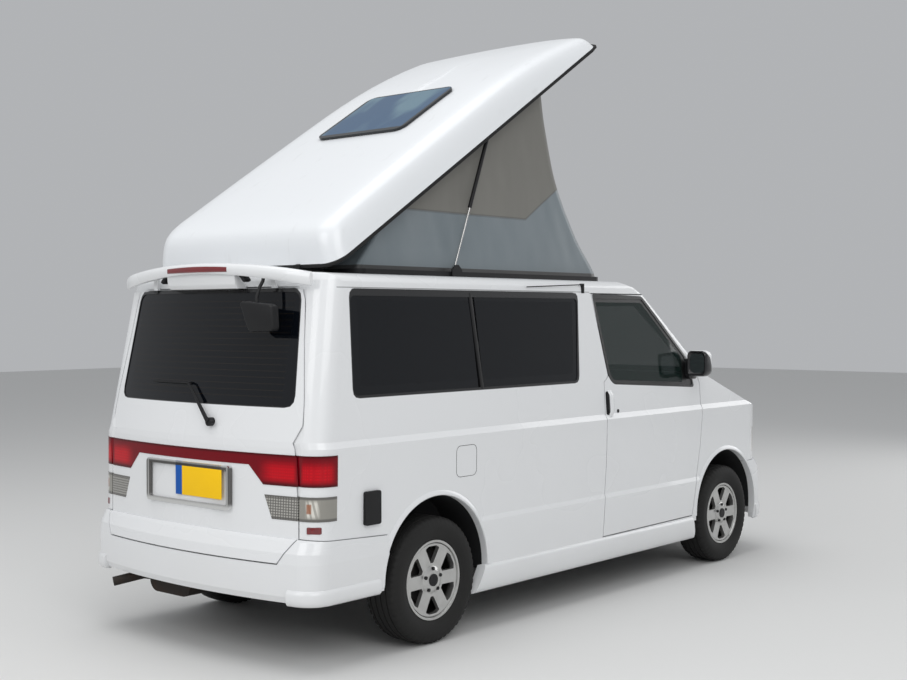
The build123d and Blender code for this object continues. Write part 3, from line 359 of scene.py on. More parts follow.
def bodyPaint():
    # white paint, black window borders, dark wheel arch liners and underside, grey inner trim
    shape = paintShape
    paint, (x, y, z) = sprayedPaint("bodyWhite", colours["white"], 0.12)
    side = abs(y)
    outside = side.above(shape["outside"])
    longBorder = paint.inside((x, z), onVan(rounded(windowShape["long"], windowShape["longCorner"])))
    doorBorder = paint.inside((x, z), onVan(rounded(windowShape["door"], windowShape["doorCorner"])))
    rearBorder = paint.inside((y, z), rounded(windowShape["rear"], windowShape["rearCorner"]))
    black = (longBorder.larger(doorBorder) * outside).larger(rearBorder * (1 - x.above(ahead(shape["rearBorder"]))))

    rearArch, frontArch = (paint.spot((x, z), (ahead(axle), shape["archHeight"]), shape["archRadius"], 0.01)
                           for axle in (0.0, wheelbase))
    inner, outer = shape["linerHalves"]
    liner = rearArch.larger(frontArch) * (1 - side.above(outer, 0.001)) * side.above(inner, 0.05)
    under = (1 - z.above(shape["underside"], 0.004)) * (1 - side.above(shape["undersideHalf"], 0.004))

    rise = (z - shape["belt"]).larger(0.0)
    gutter, step = shape["gutter"]
    wall = side + rise * shape["wallLean"] + z.above(gutter, 0.004) * step
    rear, front = shape["trimEnds"]
    trim = (1 - wall.above(shape["wallHalf"], 0.002)) * (x - rise * shape["rearLean"]).above(ahead(rear))
    trim = trim * (1 - x.above(ahead(front))) * z.above(shape["trimFloor"]) * (1 - liner)
    height, drop, start, end = shape["ceiling"]
    ceiling = z + paint.ramp(x, ahead(start), ahead(end)) * drop
    foot, run, bow = shape["screen"]
    screen = x + rise * run + y * y * bow
    trim = trim * (1 - ceiling.above(height, 0.004)) * (1 - screen.above(ahead(foot), 0.004))

    start, end = shape["railEnds"]
    rail = 1 - abs(z - shape["railHeight"]).above(shape["railHalf"], 0.0008)
    rail = rail * outside * x.above(ahead(start)) * (1 - x.above(ahead(end)))
    white = paint.surface.inputs["Base Color"].links[0].from_socket
    lined = paint.mix(trim, white, colours["trim"])
    railed = paint.mix(rail * 0.75, lined, (0.06, 0.06, 0.06))
    rough = liner.larger(under)
    paint.set("Base Color", paint.mix(rough.larger(black), railed, colours["black"]))
    gloss = paint.surface.inputs["Roughness"].links[0].from_socket
    paint.set("Roughness", Wire(paint, gloss) * (1 - liner) + rough * 0.85 + trim * 0.4)
    paint.set("Coat Weight", 0.5 - rough.larger(trim) * 0.5)
    return paint.material


def roofPaint():
    # glass fibre roof: slight waviness and a few dark specks
    paint = Paint("roofWhite", (0.80, 0.82, 0.84), 0.33, Coat_Weight=0.35, Coat_Roughness=0.12)
    cloud = paint.noise(2.0, 4.0)
    stain = paint.noise(7.0, 4.0, (1.0, 2.5, 0.6)).above(0.68, 0.06)
    paint.set("Base Color", paint.mix(stain * 0.12 + cloud * 0.06, (0.80, 0.82, 0.84), (0.42, 0.42, 0.40)))
    paint.set("Roughness", 0.28 + cloud * 0.12)
    return paint.material


def privacyGlass():
    # dark side panes with a printed border and a black strip between the two panes
    shape = windowShape
    paint = Paint("privacyGlass", colours["darkPane"], 0.03, IOR=1.52, Specular_IOR_Level=0.35)
    x, y, z = paint.along()
    rim = 1 - paint.inside((x, z), onVan(rounded(shape["long"], shape["printedCorner"])), -shape["printedEdge"])
    solid = rim.larger(1 - abs(x - dividerAt(z)).above(shape["dividerHalf"], 0.001))
    return solidParts(paint, solid, 0.03, 0.12, 0.94)


def solidParts(paint, solid, smooth, rough, alpha):
    # a pane's printed or rubber parts are rougher than the glass, and hide what lies behind
    paint.set("Roughness", smooth + solid * rough)
    paint.set("Alpha", alpha + solid * (1 - alpha))
    return paint.material


def printedEdge(y, z, half, low, high, soft):
    # 1 on the black printed edge of a pane across the van
    return abs(y).above(half, soft).larger(z.above(high, soft)).larger(1 - z.above(low, soft))


def rearGlass():
    # tinted tailgate glass with fine heater lines
    paint = Paint("tailgateGlass", colours["darkPane"], 0.03, IOR=1.52, Specular_IOR_Level=0.4)
    x, y, z = paint.along()
    lines = z.wave(0.030).above(0.988, 0.008)
    edge = printedEdge(y, z, *windowShape["heaterPrint"])
    paint.set("Base Color", paint.mix(lines * (1 - edge), colours["darkPane"], (0.03, 0.022, 0.015)))
    return solidParts(paint, edge, 0.03, 0.0, 0.95)


def clearGlass():
    # green tinted pane in a black rubber frame, with the black corner piece that carries the mirror
    shape = windowShape
    paint = Paint("greenGlass", colours["greenPane"], 0.02, IOR=1.52, Specular_IOR_Level=0.55)
    x, y, z = paint.along()
    pane = paint.inside((x, z), onVan(rounded(shape["doorPane"], shape["doorCorner"])), -shape["doorEdge"])
    corner = x.above(ahead(shape["mirrorCorner"]))
    solid = (1 - pane).larger(corner) * abs(y).above(shape["mirrorCornerHalf"])
    paint.set("Base Color", paint.mix(solid, colours["greenPane"], (0.010, 0.010, 0.010)))
    return solidParts(paint, solid, 0.02, 0.35, 0.60)


def screenGlass():
    # green tinted windscreen with a black printed edge
    paint = Paint("screenGlass", colours["greenPane"], 0.02, IOR=1.52, Specular_IOR_Level=0.55)
    x, y, z = paint.along()
    return solidParts(paint, printedEdge(y, z, *windowShape["screenPrint"]), 0.02, 0.3, 0.52)


skylightShape = [(-1.072, -0.312), (-0.650, -0.312), (-0.650, 0.312), (-1.072, 0.312)]


def skylightGlass():
    # blue tinted dome with a dark edge and paler bands across it
    paint = Paint("skylightGlass", (0.03, 0.075, 0.13), 0.06, IOR=1.49, Specular_IOR_Level=0.5)
    x, y, z = paint.along()
    cloud = paint.noise(2.6, 2.0, (1.0, 1.6, 0.4))
    inner = paint.inside((x, y), skylightShape, 0.0, 0.004)
    dome = paint.mix(cloud.above(0.52, 0.10), (0.020, 0.075, 0.16), (0.10, 0.19, 0.25))
    paint.set("Base Color", paint.mix(inner, (0.010, 0.012, 0.014), dome))
    paint.set("Roughness", 0.05 + cloud * 0.06)
    return paint.material


# Rear lamps: where the lens paints change across, up and along the van
rearLampShape = {
    "chamber": ((0.47, 0.58), (0.685, 0.716)),
    "level": ((0.868, 0.902), (0.935, 0.992)),
    "corner": (0.722, 0.750),
    "cornerEnd": (-0.745, -0.700),
    "redEdges": (0.874, 0.996, 0.006),
    "clearEdges": (0.718, 0.806, 0.004),
    "clearCorner": 0.7205,
    "dish": ((0.786, 0.016, 0.034), (0.762, 0.026, 0.050)),
    "bulb": ((0.774, 0.008, 0.014), (0.764, 0.018, 0.026)),
}


def lensEdge(z, low, high, soft):
    return (1 - z.above(low, soft)).larger(z.above(high, soft))


def redLens():
    # one long red lens: dark over the middle band, brighter over the bulb chambers
    shape = rearLampShape
    paint = Paint("redLens", (0.22, 0.003, 0.010), 0.12, Coat_Weight=0.12, Coat_Roughness=0.03, Specular_IOR_Level=0.2)
    x, y, z = paint.along()
    side = abs(y)
    start, end = shape["cornerEnd"]
    corner = paint.ramp(side, *shape["corner"]) * (1 - paint.ramp(x, ahead(start), ahead(end)))
    ribs, steps = (y + x).wave(0.0085), z.wave(0.0140)
    cells = (ribs * 0.5 + 0.5) * (steps * 0.5 + 0.5)
    glow = paint.band(side, *shape["chamber"]).larger(corner) * paint.band(z, *shape["level"]) * (0.70 + cells * 0.30)
    edge = lensEdge(z, *shape["redEdges"])
    deep = paint.mix(edge * 0.7, (0.17, 0.0015, 0.007), (0.045, 0.001, 0.003))
    paint.set("Base Color", paint.mix(glow, deep, (0.62, 0.003, 0.012)))
    paint.bump(ribs * 0.5 + steps * 0.3, 0.08, 0.0005)
    return paint.material


def clearLens():
    # clear lens over a bright dish: fine grid, amber bulb in the corner lamp
    shape = rearLampShape
    paint = Paint("clearLens", (0.34, 0.33, 0.30), 0.10, Coat_Weight=0.4, Coat_Roughness=0.04, Specular_IOR_Level=0.4)
    x, y, z = paint.along()
    side = abs(y)
    grid = ((y + x).wave(0.0125) * 0.5 + 0.5).above(0.70, 0.10).larger((z.wave(0.0125) * 0.5 + 0.5).above(0.74, 0.10))
    corner = side.above(shape["clearCorner"])
    dish, bulb = (paint.near(side, *across) * paint.near(z, *up) for across, up in (shape["dish"], shape["bulb"]))
    bars = ((side + z * 0.2).wave(0.021) * 0.5 + 0.5).above(0.62, 0.12)
    base = paint.mix(grid * (1 - corner), (0.40, 0.39, 0.36), (0.13, 0.125, 0.115))
    base = paint.mix(corner * 0.75, base, (0.24, 0.23, 0.20))
    base = paint.mix(dish * corner, base, paint.mix(bars * 0.6, (0.70, 0.68, 0.62), (0.20, 0.19, 0.165)))
    base = paint.mix(bulb * corner * 0.85, base, (0.30, 0.09, 0.025))
    edge = lensEdge(z, *shape["clearEdges"])
    paint.set("Base Color", paint.mix(edge * 0.8, base, (0.09, 0.085, 0.08)))
    paint.bump(grid, 0.25, 0.0008)
    return paint.material


def highLens():
    # red moulded lens with upright ribs
    paint = Paint("highLens", (0.24, 0.010, 0.014), 0.08, Coat_Weight=0.8, Coat_Roughness=0.03)
    x, y, z = paint.along()
    ribs = (y + x).wave(0.006)
    glow = ribs * 0.15 + paint.noise(5.0, 2.0) * 0.8
    paint.set("Base Color", paint.mix(glow, (0.12, 0.004, 0.008), (0.24, 0.010, 0.014)))
    paint.bump(ribs, 0.25, 0.0010)
    return paint.material


def wovenCloth(name, colour, shade, thread):
    paint = Paint(name, colour, 0.85, Sheen_Weight=0.2, Sheen_Roughness=0.4)
    x, y, z = paint.along()
    weave = ((x + y).wave(thread) * z.wave(thread)) * 0.5 + 0.5
    cloud = paint.noise(4.0, 5.0)
    streak = paint.noise(6.0, 3.0, (6.0, 6.0, 0.7))
    paint.set("Base Color", paint.mix(cloud * 0.45 + streak * 0.25 + weave * 0.12, colour, shade))
    paint.bump(weave, 0.25, 0.0004)
    return paint.material


def polishedMetal(name, colour, roughness):
    paint = Paint(name, colour, roughness, Metallic=1.0)
    paint.set("Roughness", roughness + paint.noise(30.0, 4.0) * 0.10)
    return paint.material


def plateChrome():
    # bright frame round the plate, with painted reflections: its upper rails are painted dark as if mirroring the
    # ground, its foot and top edge bright as if mirroring the sky, and a painted highlight runs down near each end
    paint = Paint("plateChrome", colours["chrome"], 0.14, Metallic=1.0)
    x, y, z = paint.along()
    # painted sky reflection: bright along the foot and the top edge
    sky = (1 - paint.ramp(z, 0.732, 0.760)).larger(paint.ramp(z, 0.924, 0.932))
    # painted highlight: a bright upright stripe near each end
    paintedHighlight = paint.near(abs(y), 0.306, 0.003, 0.008) * 0.7
    # the rest is painted dark as a reflection of the ground
    paint.set("Base Color", paint.mix(sky.larger(paintedHighlight), (0.17, 0.165, 0.16), (0.78, 0.78, 0.77)))
    return paint.material


headLampShape = {
    "height": 0.790,
    "outer": (0.635, 0.062),
    "inner": (0.505, 0.050),
    "bulb": 0.020,
    "flasher": 0.735,
}


def headLens():
    # clear front lens over two bowls, with the flasher towards the corner
    shape = headLampShape
    paint = Paint("headLens", (0.62, 0.64, 0.66), 0.06, Coat_Weight=0.8, Coat_Roughness=0.02)
    x, y, z = paint.along()
    side = abs(y)
    ribs = (y + x).wave(0.024) * 0.5 + 0.5
    bowls = [paint.spot((side, z), (middle, shape["height"]), radius, 0.010)
             for middle, radius in (shape["outer"], shape["inner"])]
    bulb = paint.spot((side, z), (shape["outer"][0], shape["height"]), shape["bulb"], 0.006)
    flasher = side.above(shape["flasher"], 0.002)
    base = paint.mix(ribs * 0.5, (0.42, 0.43, 0.44), (0.20, 0.205, 0.21))
    base = paint.mix(bowls[0].larger(bowls[1]), base, (0.80, 0.81, 0.82))
    base = paint.mix(bulb, base, (0.10, 0.10, 0.105))
    base = paint.mix(flasher * 0.8, base, (0.58, 0.54, 0.47))
    paint.set("Base Color", base)
    paint.bump(ribs, 0.2, 0.0008)
    return paint.material


def wheelAlloy():
    # lacquered alloy with a patchy darker tone on its face; its parts set deeper in the wheel, round the centre and
    # seen through the windows, are painted near black as shade
    paint = Paint("wheelAlloy", (0.62, 0.62, 0.61), 0.32, Metallic=0.85, Coat_Weight=0.3, Coat_Roughness=0.1)
    x, y, z = paint.along()
    cloud = paint.noise(24.0, 5.0)
    # painted shade: every part inboard of the wheel's face is made near black
    inner = 1 - abs(y).above(0.768, 0.012)
    face = paint.mix(cloud * 0.45, (0.60, 0.60, 0.59), (0.32, 0.31, 0.29))
    paint.set("Base Color", paint.mix(inner, face, (0.035, 0.033, 0.030)))
    paint.set("Roughness", 0.25 + cloud * 0.22 + inner * 0.3)
    paint.bump(paint.noise(160.0, 2.0), 0.05, 0.0004)
    return paint.material


def castIron(name, colour):
    paint = Paint(name, colour, 0.75, Metallic=0.4)
    rust = paint.noise(14.0, 6.0)
    paint.set("Base Color", paint.mix(rust.above(0.55, 0.12) * 0.5, colour, (0.060, 0.034, 0.022)))
    paint.set("Roughness", 0.6 + rust * 0.25)
    paint.bump(paint.noise(120.0, 4.0), 0.35, 0.001)
    return paint.material


def blackPlastic():
    paint = Paint("moulding", (0.009, 0.009, 0.010), 0.5, Specular_IOR_Level=0.3)
    paint.set("Roughness", paint.noise(6.0, 3.0) * 0.16 + 0.42)
    paint.bump(paint.noise(420.0, 2.0), 0.15, 0.0004)
    return paint.material


def softRubber(name, colour=(0.009, 0.009, 0.010)):
    paint = Paint(name, colour, 0.72, Specular_IOR_Level=0.3)
    dust = paint.noise(9.0, 5.0)
    paint.set("Base Color", paint.mix(dust * 0.15, colour, (0.05, 0.046, 0.04)))
    paint.set("Roughness", 0.62 + dust * 0.2)
    paint.bump(paint.noise(260.0, 2.0), 0.12, 0.0005)
    return paint.material


def flatSheet(name, colour):
    # reflective sheet of a number plate: a fine dimple and faint dust
    paint = Paint(name, colour, 0.6, Specular_IOR_Level=0.2)
    cells = paint.node("TexVoronoi", {"feature": "F1"}, {"Vector": paint.place(), "Scale": 420.0})
    dust = paint.noise(12.0, 4.0)
    faded = tuple(channel * 0.90 for channel in colour)
    paint.set("Base Color", paint.mix(dust * 0.4, colour, faded))
    paint.bump(Wire(paint, cells.outputs[0]), 0.08, 0.0003)
    return paint.material


def tentCloth():
    # coated cloth: a grey lower panel with a sheen and a beige upper panel, seamed along a kinked line
    paint = Paint("tentCloth", (0.30, 0.31, 0.31), 0.6, Sheen_Weight=0.15, Sheen_Roughness=0.4)
    x, y, z = paint.along()
    (kinkX, kinkZ), (endX, endZ) = tentShape["seam"]
    seam = (x - ahead(kinkX)).larger(0.0) * ((endZ - kinkZ) / (endX - kinkX)) + kinkZ
    upper = (z - seam).above(0.0, 0.002)
    stitch = 1 - abs(z - seam).above(0.007, 0.0015)
    weave = ((x + y).wave(0.0045) * z.wave(0.0045)) * 0.5 + 0.5
    cloud = paint.noise(2.2, 5.0)
    streak = paint.noise(5.0, 3.0, (3.0, 3.0, 0.6))
    low = paint.mix(cloud * 0.5 + streak * 0.3, (0.145, 0.180, 0.200), (0.215, 0.245, 0.262))
    high = paint.mix(cloud * 0.5 + streak * 0.3, (0.215, 0.210, 0.190), (0.150, 0.146, 0.134))
    panels = paint.mix(upper, low, high)
    hem = 1 - z.above(tentShape["foot"] + tentShape["hem"], 0.001)
    paint.set("Base Color", paint.mix((stitch * 0.35).larger(hem), panels, (0.045, 0.045, 0.045)))
    paint.set("Roughness", 0.38 + upper * 0.38 + cloud * 0.08)
    paint.bump(weave * 0.35 + stitch, 0.25, 0.0012)
    return paint.material


def makeFinishes():
    finishes.update({
        "body_white": bodyPaint(),
        "bumper_white": sprayedPaint("bumperWhite", (0.79, 0.80, 0.81), 0.22)[0].material,
        "roof_white": roofPaint(),
        "glass_dark": privacyGlass(),
        "glass_rear": rearGlass(),
        "glass_clear": clearGlass(),
        "glass_screen": screenGlass(),
        "skylight_glass": skylightGlass(),
        "lamp_red": redLens(),
        "lamp_clear": clearLens(),
        "lamp_high": highLens(),
        "head_lens": headLens(),
        "plate_chrome": plateChrome(),
        "tent_fabric": tentCloth(),
        "seat_cloth": wovenCloth("seatCloth", (0.16, 0.17, 0.19), (0.09, 0.095, 0.11), 0.005),
        "chrome_trim": polishedMetal("brightTrim", colours["chrome"], 0.16),
        "alloy": wheelAlloy(),
        "dark_iron": castIron("castIron", (0.035, 0.034, 0.033)),
        "dark_steel": castIron("darkSteel", (0.030, 0.024, 0.020)),
        "floor_paint": wovenCloth("floorCarpet", (0.05, 0.05, 0.052), (0.09, 0.088, 0.085), 0.006),
        "seal_rubber": softRubber("sealRubber"),
        "tyre_rubber": softRubber("tyreRubber", (0.013, 0.013, 0.013)),
        "trim_black": blackPlastic(),
        "plate_yellow": flatSheet("plateYellow", (1.0, 0.60, 0.008)),
        "plate_blue": flatSheet("plateBlue", (0.012, 0.10, 0.42)),
        "mirror_glass": polishedMetal("mirrorGlass", (0.55, 0.58, 0.60), 0.02),
    })


# Nodes that look otherwise than their material slot says
nodeFinishes = {
    "tailgate_glass": "glass_rear",
    "windscreen": "glass_screen",
    "headlamps": "head_lens",
    "plate_frame": "plate_chrome",
    "exhaust": "dark_steel",
    "roof_fittings": "trim_black",
    "side_vent": "trim_black",
    "roof_seal": "seal_rubber",
    "strut_tube_left": "trim_black",
    "strut_tube_right": "trim_black",
    "strut_rod_left": "chrome_trim",
    "strut_rod_right": "chrome_trim",
}


def dressNodes():
    slots = {part["node"]: part["material_slot"] for part in frame["record"]["subparts"]}
    for name, node in frame["nodes"].items():
        node.data.materials.clear()
        node.data.materials.append(finishes[nodeFinishes.get(name, slots[name])])


# Modelling helpers
def choose(*pieces):
    # these pieces and no others are selected, and the first is active
    if bpy.context.object and bpy.context.object.mode != "OBJECT":
        bpy.ops.object.mode_set(mode="OBJECT")
    bpy.ops.object.select_all(action="DESELECT")
    for piece in pieces:
        piece.select_set(True)
    if pieces:
        bpy.context.view_layer.objects.active = pieces[0]


def openMesh():
    bpy.ops.object.mode_set(mode="EDIT")
    bpy.ops.mesh.select_all(action="SELECT")


def closeMesh():
    # faces outwards, back to object mode
    bpy.ops.mesh.select_all(action="SELECT")
    bpy.ops.mesh.normals_make_consistent(inside=False)
    bpy.ops.object.mode_set(mode="OBJECT")


def settle(piece):
    # the piece's object goes to the origin, with its place in its mesh
    choose(piece)
    bpy.ops.object.transform_apply(location=True, rotation=True, scale=True)


def finishPiece(piece, name, body, finish, *nodes):
    # the piece gets its name, place, finish and body, and stands for these nodes
    settle(piece)
    piece.name = name
    piece.data.name = name
    piece.data.materials.clear()
    piece.data.materials.append(finishes[finish])
    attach(piece, body)
    for node in nodes:
        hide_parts(node)


def applyModifier(piece, kind, **settings):
    choose(piece)
    modifier = piece.modifiers.new(kind, kind)
    for key, value in settings.items():
        setattr(modifier, key, value)
    bpy.ops.object.modifier_apply(modifier=modifier.name)


def roundedBox(size, place, corner):
    choose()
    bpy.ops.mesh.primitive_cube_add(size=1, location=place)
    piece = bpy.context.object
    piece.scale = size
    settle(piece)
    applyModifier(piece, "BEVEL", width=corner, segments=3, limit_method="NONE")
    return smoothed(piece, 35)


def joined(pieces):
    choose(*pieces)
    bpy.ops.object.join()
    return bpy.context.object


def skinned(rings, ends=True):
    # a skin over closed rings of points, one ring after the other
    choose()
    around, rows = len(rings[0]), len(rings) - 1
    bpy.ops.mesh.primitive_grid_add(x_subdivisions=around, y_subdivisions=rows, size=2)
    piece = bpy.context.object
    for vertex in piece.data.vertices:
        column = round((vertex.co.x + 1) / 2 * around) % around
        row = round((vertex.co.y + 1) / 2 * rows)
        vertex.co = rings[row][column]
    openMesh()
    bpy.ops.mesh.remove_doubles(threshold=0.00005)
    if ends:
        bpy.ops.mesh.fill_holes(sides=0)
    closeMesh()
    return piece


def cutShape(points, depth, corner=0.0, segments=2):
    # a flat outline of points, drawn out along depth, with its edges rounded
    choose()
    bpy.ops.mesh.primitive_circle_add(vertices=len(points), radius=1, fill_type="NGON")
    piece = bpy.context.object
    for vertex, point in zip(piece.data.vertices, points):
        vertex.co = point
    openMesh()
    bpy.ops.mesh.extrude_region_move(TRANSFORM_OT_translate={"value": depth})
    closeMesh()
    if corner:
        applyModifier(piece, "BEVEL", width=corner, segments=segments, limit_method="ANGLE")
    return piece


def smoothed(piece, degrees=40):
    choose(piece)
    bpy.ops.object.shade_smooth_by_angle(angle=radians(degrees))
    return piece


def copied(piece):
    twin = piece.copy()
    twin.data = piece.data.copy()
    bpy.context.collection.objects.link(twin)
    return twin


def mirrored(piece):
    # a copy on the other side of the van
    twin = copied(piece)
    for vertex in twin.data.vertices:
        vertex.co.y = -vertex.co.y
    choose(twin)
    openMesh()
    closeMesh()
    return twin


def onBothSides(piece):
    return joined([piece, mirrored(piece)])


def touch(node, start, direction):
    # where a straight line first meets a piece of the van
    hit, place, normal, face = frame["nodes"][node].ray_cast(Vector(start), Vector(direction))
    if not hit:
        print("no surface of", node, "at", start)
    return place


def runs(route):
    # each place of a route with the direction from the place before it to the one after
    for index, place in enumerate(route):
        before, after = Vector(route[max(0, index - 1)]), Vector(route[min(len(route) - 1, index + 1)])
        yield Vector(place), after - before


def tube(route, radius, sides=12):
    turns = [step * 2 * pi / sides for step in range(sides)]
    circle = [Vector((radius * cos(turn), radius * sin(turn), 0)) for turn in turns]
    rings = []
    for place, run in runs(route):
        across = run.to_track_quat("Z", "Y")
        rings.append([place + across @ point for point in circle])
    return smoothed(skinned(rings), 35)


def roundLoop(half, high, corner, steps):
    # points round a rectangle with rounded corners, about its middle
    points = []
    for quarter, (signA, signB) in enumerate(((1, 1), (-1, 1), (-1, -1), (1, -1))):
        for step in range(steps + 1):
            turn = quarter * pi / 2 + step / steps * pi / 2
            points.append((signA * (half - corner) + corner * cos(turn), signB * (high - corner) + corner * sin(turn)))
    return points


# Lifting roof: a thin domed shell in the plane of its rim, with a black rubber edge
roofShape = {
    "halfWidth": 0.700,
    "length": 2.760,
    "bow": 1.300,
    "rearCorner": 0.100,
    "frontCorner": 0.070,
    "cornerSteps": 7,
    "sideSteps": 14,
    "crown": 0.187,
    "bendStart": 1.480,
    "rings": [(0.0, 0.0), (0.008, 0.034), (0.019, 0.078), (0.031, 0.115), (0.044, 0.143), (0.060, 0.161),
              (0.082, 0.173), (0.115, 0.180), (0.165, 0.1835), (0.30, 0.186), (0.48, 0.187), (0.64, 0.187)],
    "rearLean": 1.75,
    "frontLean": 0.9,
    "frontTurn": pi * 0.36,
    "drop": (0.0918, 2.203),
    "rearDrop": (0.012, 1.33),
    "rearFlat": 0.15,
    "wall": 0.012,
    "edge": [(0.002, 0.006), (-0.002, 0.000), (-0.002, -0.012), (0.004, -0.016), (0.014, -0.016), (0.014, 0.004)],
}
roofTilt = radians(32.13)
roofHinge = (-0.560, 1.890)


def roofPoint(along, across, height):
    return Vector((ahead(roofHinge[0]) + along * cos(roofTilt) - height * sin(roofTilt), across,
                   roofHinge[1] + along * sin(roofTilt) + height * cos(roofTilt)))


def roofLoop(inset):
    # plan of the roof, moved in by inset: rear right corner, front right, front left, rear left
    shape = roofShape
    steps, straight = shape["cornerSteps"], shape["sideSteps"]
    half = shape["halfWidth"] - inset
    rear = inset * shape["rearLean"]
    front = shape["length"] - inset * shape["frontLean"]
    fore = front - half ** 2 / (2 * shape["bow"])
    rearCorner = min(shape["rearCorner"], half * 0.6)
    frontCorner = min(shape["frontCorner"], half * 0.6)
    points = []
    for step in range(steps + 1):
        turn = pi + step / steps * pi / 2
        points.append((rear + rearCorner + rearCorner * cos(turn), -half + rearCorner + rearCorner * sin(turn)))
    for step in range(1, straight):
        points.append((rear + rearCorner + (fore - frontCorner - rear - rearCorner) * step / straight, -half))
    for step in range(steps + 1):
        turn = -pi / 2 + step / steps * shape["frontTurn"]
        points.append((fore - frontCorner + frontCorner * cos(turn), -half + frontCorner + frontCorner * sin(turn)))
    lastX, lastY = points[-1]
    for step in range(1, straight):
        share = 1 - step / straight
        points.append((front - (front - lastX) * share ** 2, lastY * share))
    return points + [(front, 0.0)] + [(x, -y) for x, y in reversed(points)]


def roofCrown(along):
    shape = roofShape
    past = along - shape["bendStart"]
    if past > 0:
        return shape["crown"] - shape["drop"][0] * past ** shape["drop"][1]
    return shape["crown"] - shape["rearDrop"][0] * (past / shape["rearDrop"][1]) ** 2


def makeRoof():
    shape = roofShape
    rings = []
    for inset, height in shape["rings"]:
        share = height / shape["crown"]
        rings.append([roofPoint(along, across, share * roofCrown(max(shape["rearFlat"], along)))
                      for along, across in roofLoop(inset)])
    shell = skinned(rings, ends=False)
    # only the innermost ring is filled, so the underside stays open
    bpy.ops.object.mode_set(mode="EDIT")
    bpy.ops.mesh.select_all(action="DESELECT")
    bpy.ops.object.mode_set(mode="OBJECT")
    middle = [tuple(round(value, 5) for value in point) for point in rings[-1]]
    for vertex in shell.data.vertices:
        vertex.select = tuple(round(value, 5) for value in vertex.co) in middle
    bpy.ops.object.mode_set(mode="EDIT")
    bpy.ops.mesh.select_mode(type="VERT")
    bpy.ops.mesh.edge_face_add()
    closeMesh()
    applyModifier(shell, "SOLIDIFY", thickness=shape["wall"], offset=-1)
    smoothed(shell, 32)
    finishPiece(shell, "roofSkin", "roof", "roof_white", "roof_shell")

    rings = [[roofPoint(along, across, height) for along, across in roofLoop(inset)] for inset, height in shape["edge"]]
    edge = smoothed(skinned(rings + rings[:1], ends=False), 35)
    finishPiece(edge, "roofEdgeRubber", "roof", "seal_rubber")


# Spoiler: a drooping wing on a middle foot that carries the high brake lamp
spoilerShape = {
    "half": 0.706,
    "lead": -0.775,
    "sweep": 0.055,
    "trail": -0.846,
    "shoulder": (-0.792, 0.560),
    "tipTrail": -0.742,
    "top": (1.905, 1.852),
    "foot": (1.852, 1.786),
    "sections": 40,
    "blockHalf": 0.262,
    "block": [(-0.728, 1.768), (-0.742, 1.795), (-0.752, 1.868), (-0.822, 1.872), (-0.818, 1.852), (-0.812, 1.800),
              (-0.790, 1.772)],
    "lampHalf": 0.228,
    "lamp": (1.860, 1.888),
    "lampTaper": 0.006,
    "lampProud": 0.0025,
    # black pieces under the wing beside the middle foot, painted shade in the slots
    "slotShadeX": -0.806,
    "pad": [(0.272, 1.846), (0.300, 1.850), (0.330, 1.818), (0.312, 1.808)],
    "slotShadeDepth": 0.040,
}


def spoilerBow(across):
    # trailing edge between the shoulders
    shape = spoilerShape
    return shape["trail"] + (shape["shoulder"][0] - shape["trail"]) * (across / shape["shoulder"][1]) ** 2


def spoilerSection(across):
    shape = spoilerShape
    share = min(1.0, abs(across) / shape["half"])
    lead = shape["lead"] + shape["sweep"] * share ** 2
    if abs(across) < shape["shoulder"][1]:
        trail = spoilerBow(across)
    else:
        past = (abs(across) - shape["shoulder"][1]) / (shape["half"] - shape["shoulder"][1])
        trail = shape["shoulder"][0] + (shape["tipTrail"] - shape["shoulder"][0]) * min(1.0, past) ** 1.6
    top = shape["top"][0] + (shape["top"][1] - shape["top"][0]) * share ** 2.2
    foot = shape["foot"][0] + (shape["foot"][1] - shape["foot"][0]) * share ** 1.8
    deep = top - foot
    return [(lead, foot + deep * 0.30), (lead, top - deep * 0.22), (lead - 0.006, top - deep * 0.06),
            ((lead * 2 + trail) / 3, top), ((lead + trail * 2) / 3, top - 0.001), (trail + 0.010, top - 0.003),
            (trail + 0.002, top - deep * 0.20), (trail, top - deep * 0.45), (trail + 0.002, foot + deep * 0.20),
            (trail + 0.009, foot + 0.002), ((lead + trail) / 2, foot), (lead - 0.006, foot + deep * 0.10)]


def makeSpoiler():
    shape = spoilerShape
    rings = []
    for step in range(shape["sections"] + 1):
        across = -shape["half"] + 2 * shape["half"] * step / shape["sections"]
        rings.append([(ahead(x), across, z) for x, z in spoilerSection(across)])
    wing = smoothed(skinned(rings))
    half = shape["blockHalf"]
    block = cutShape([(ahead(x), -half, z) for x, z in shape["block"]], (0, 2 * half, 0), 0.006)
    whole = joined([wing, smoothed(block)])
    finishPiece(whole, "rearSpoiler", "tailgate", "body_white", "spoiler")

    rings = []
    proud = shape["lampProud"]
    for step in range(17):
        share = step / 8 - 1
        across = shape["lampHalf"] * share
        taper = shape["lampTaper"] * share ** 2
        low, high = shape["lamp"][0] - taper * 0.3, shape["lamp"][1] - taper
        section = ((0.020, low), (0.0, low), (-proud, low + 0.003), (-proud, high - 0.003), (0.0, high), (0.020, high))
        rings.append([(ahead(spoilerBow(across) + deep), across, z) for deep, z in section])
    finishPiece(smoothed(skinned(rings)), "highLamp", "tailgate", "lamp_high")
    # painted shade: black pieces fill the slots beside the middle foot, under the wing
    pads = [cutShape([(ahead(shape["slotShadeX"]), sign * y, z) for y, z in shape["pad"]], (shape["slotShadeDepth"], 0, 0), 0.004)
            for sign in (1, -1)]
    finishPiece(joined(pads), "spoilerSlotShade", "tailgate", "trim_black")


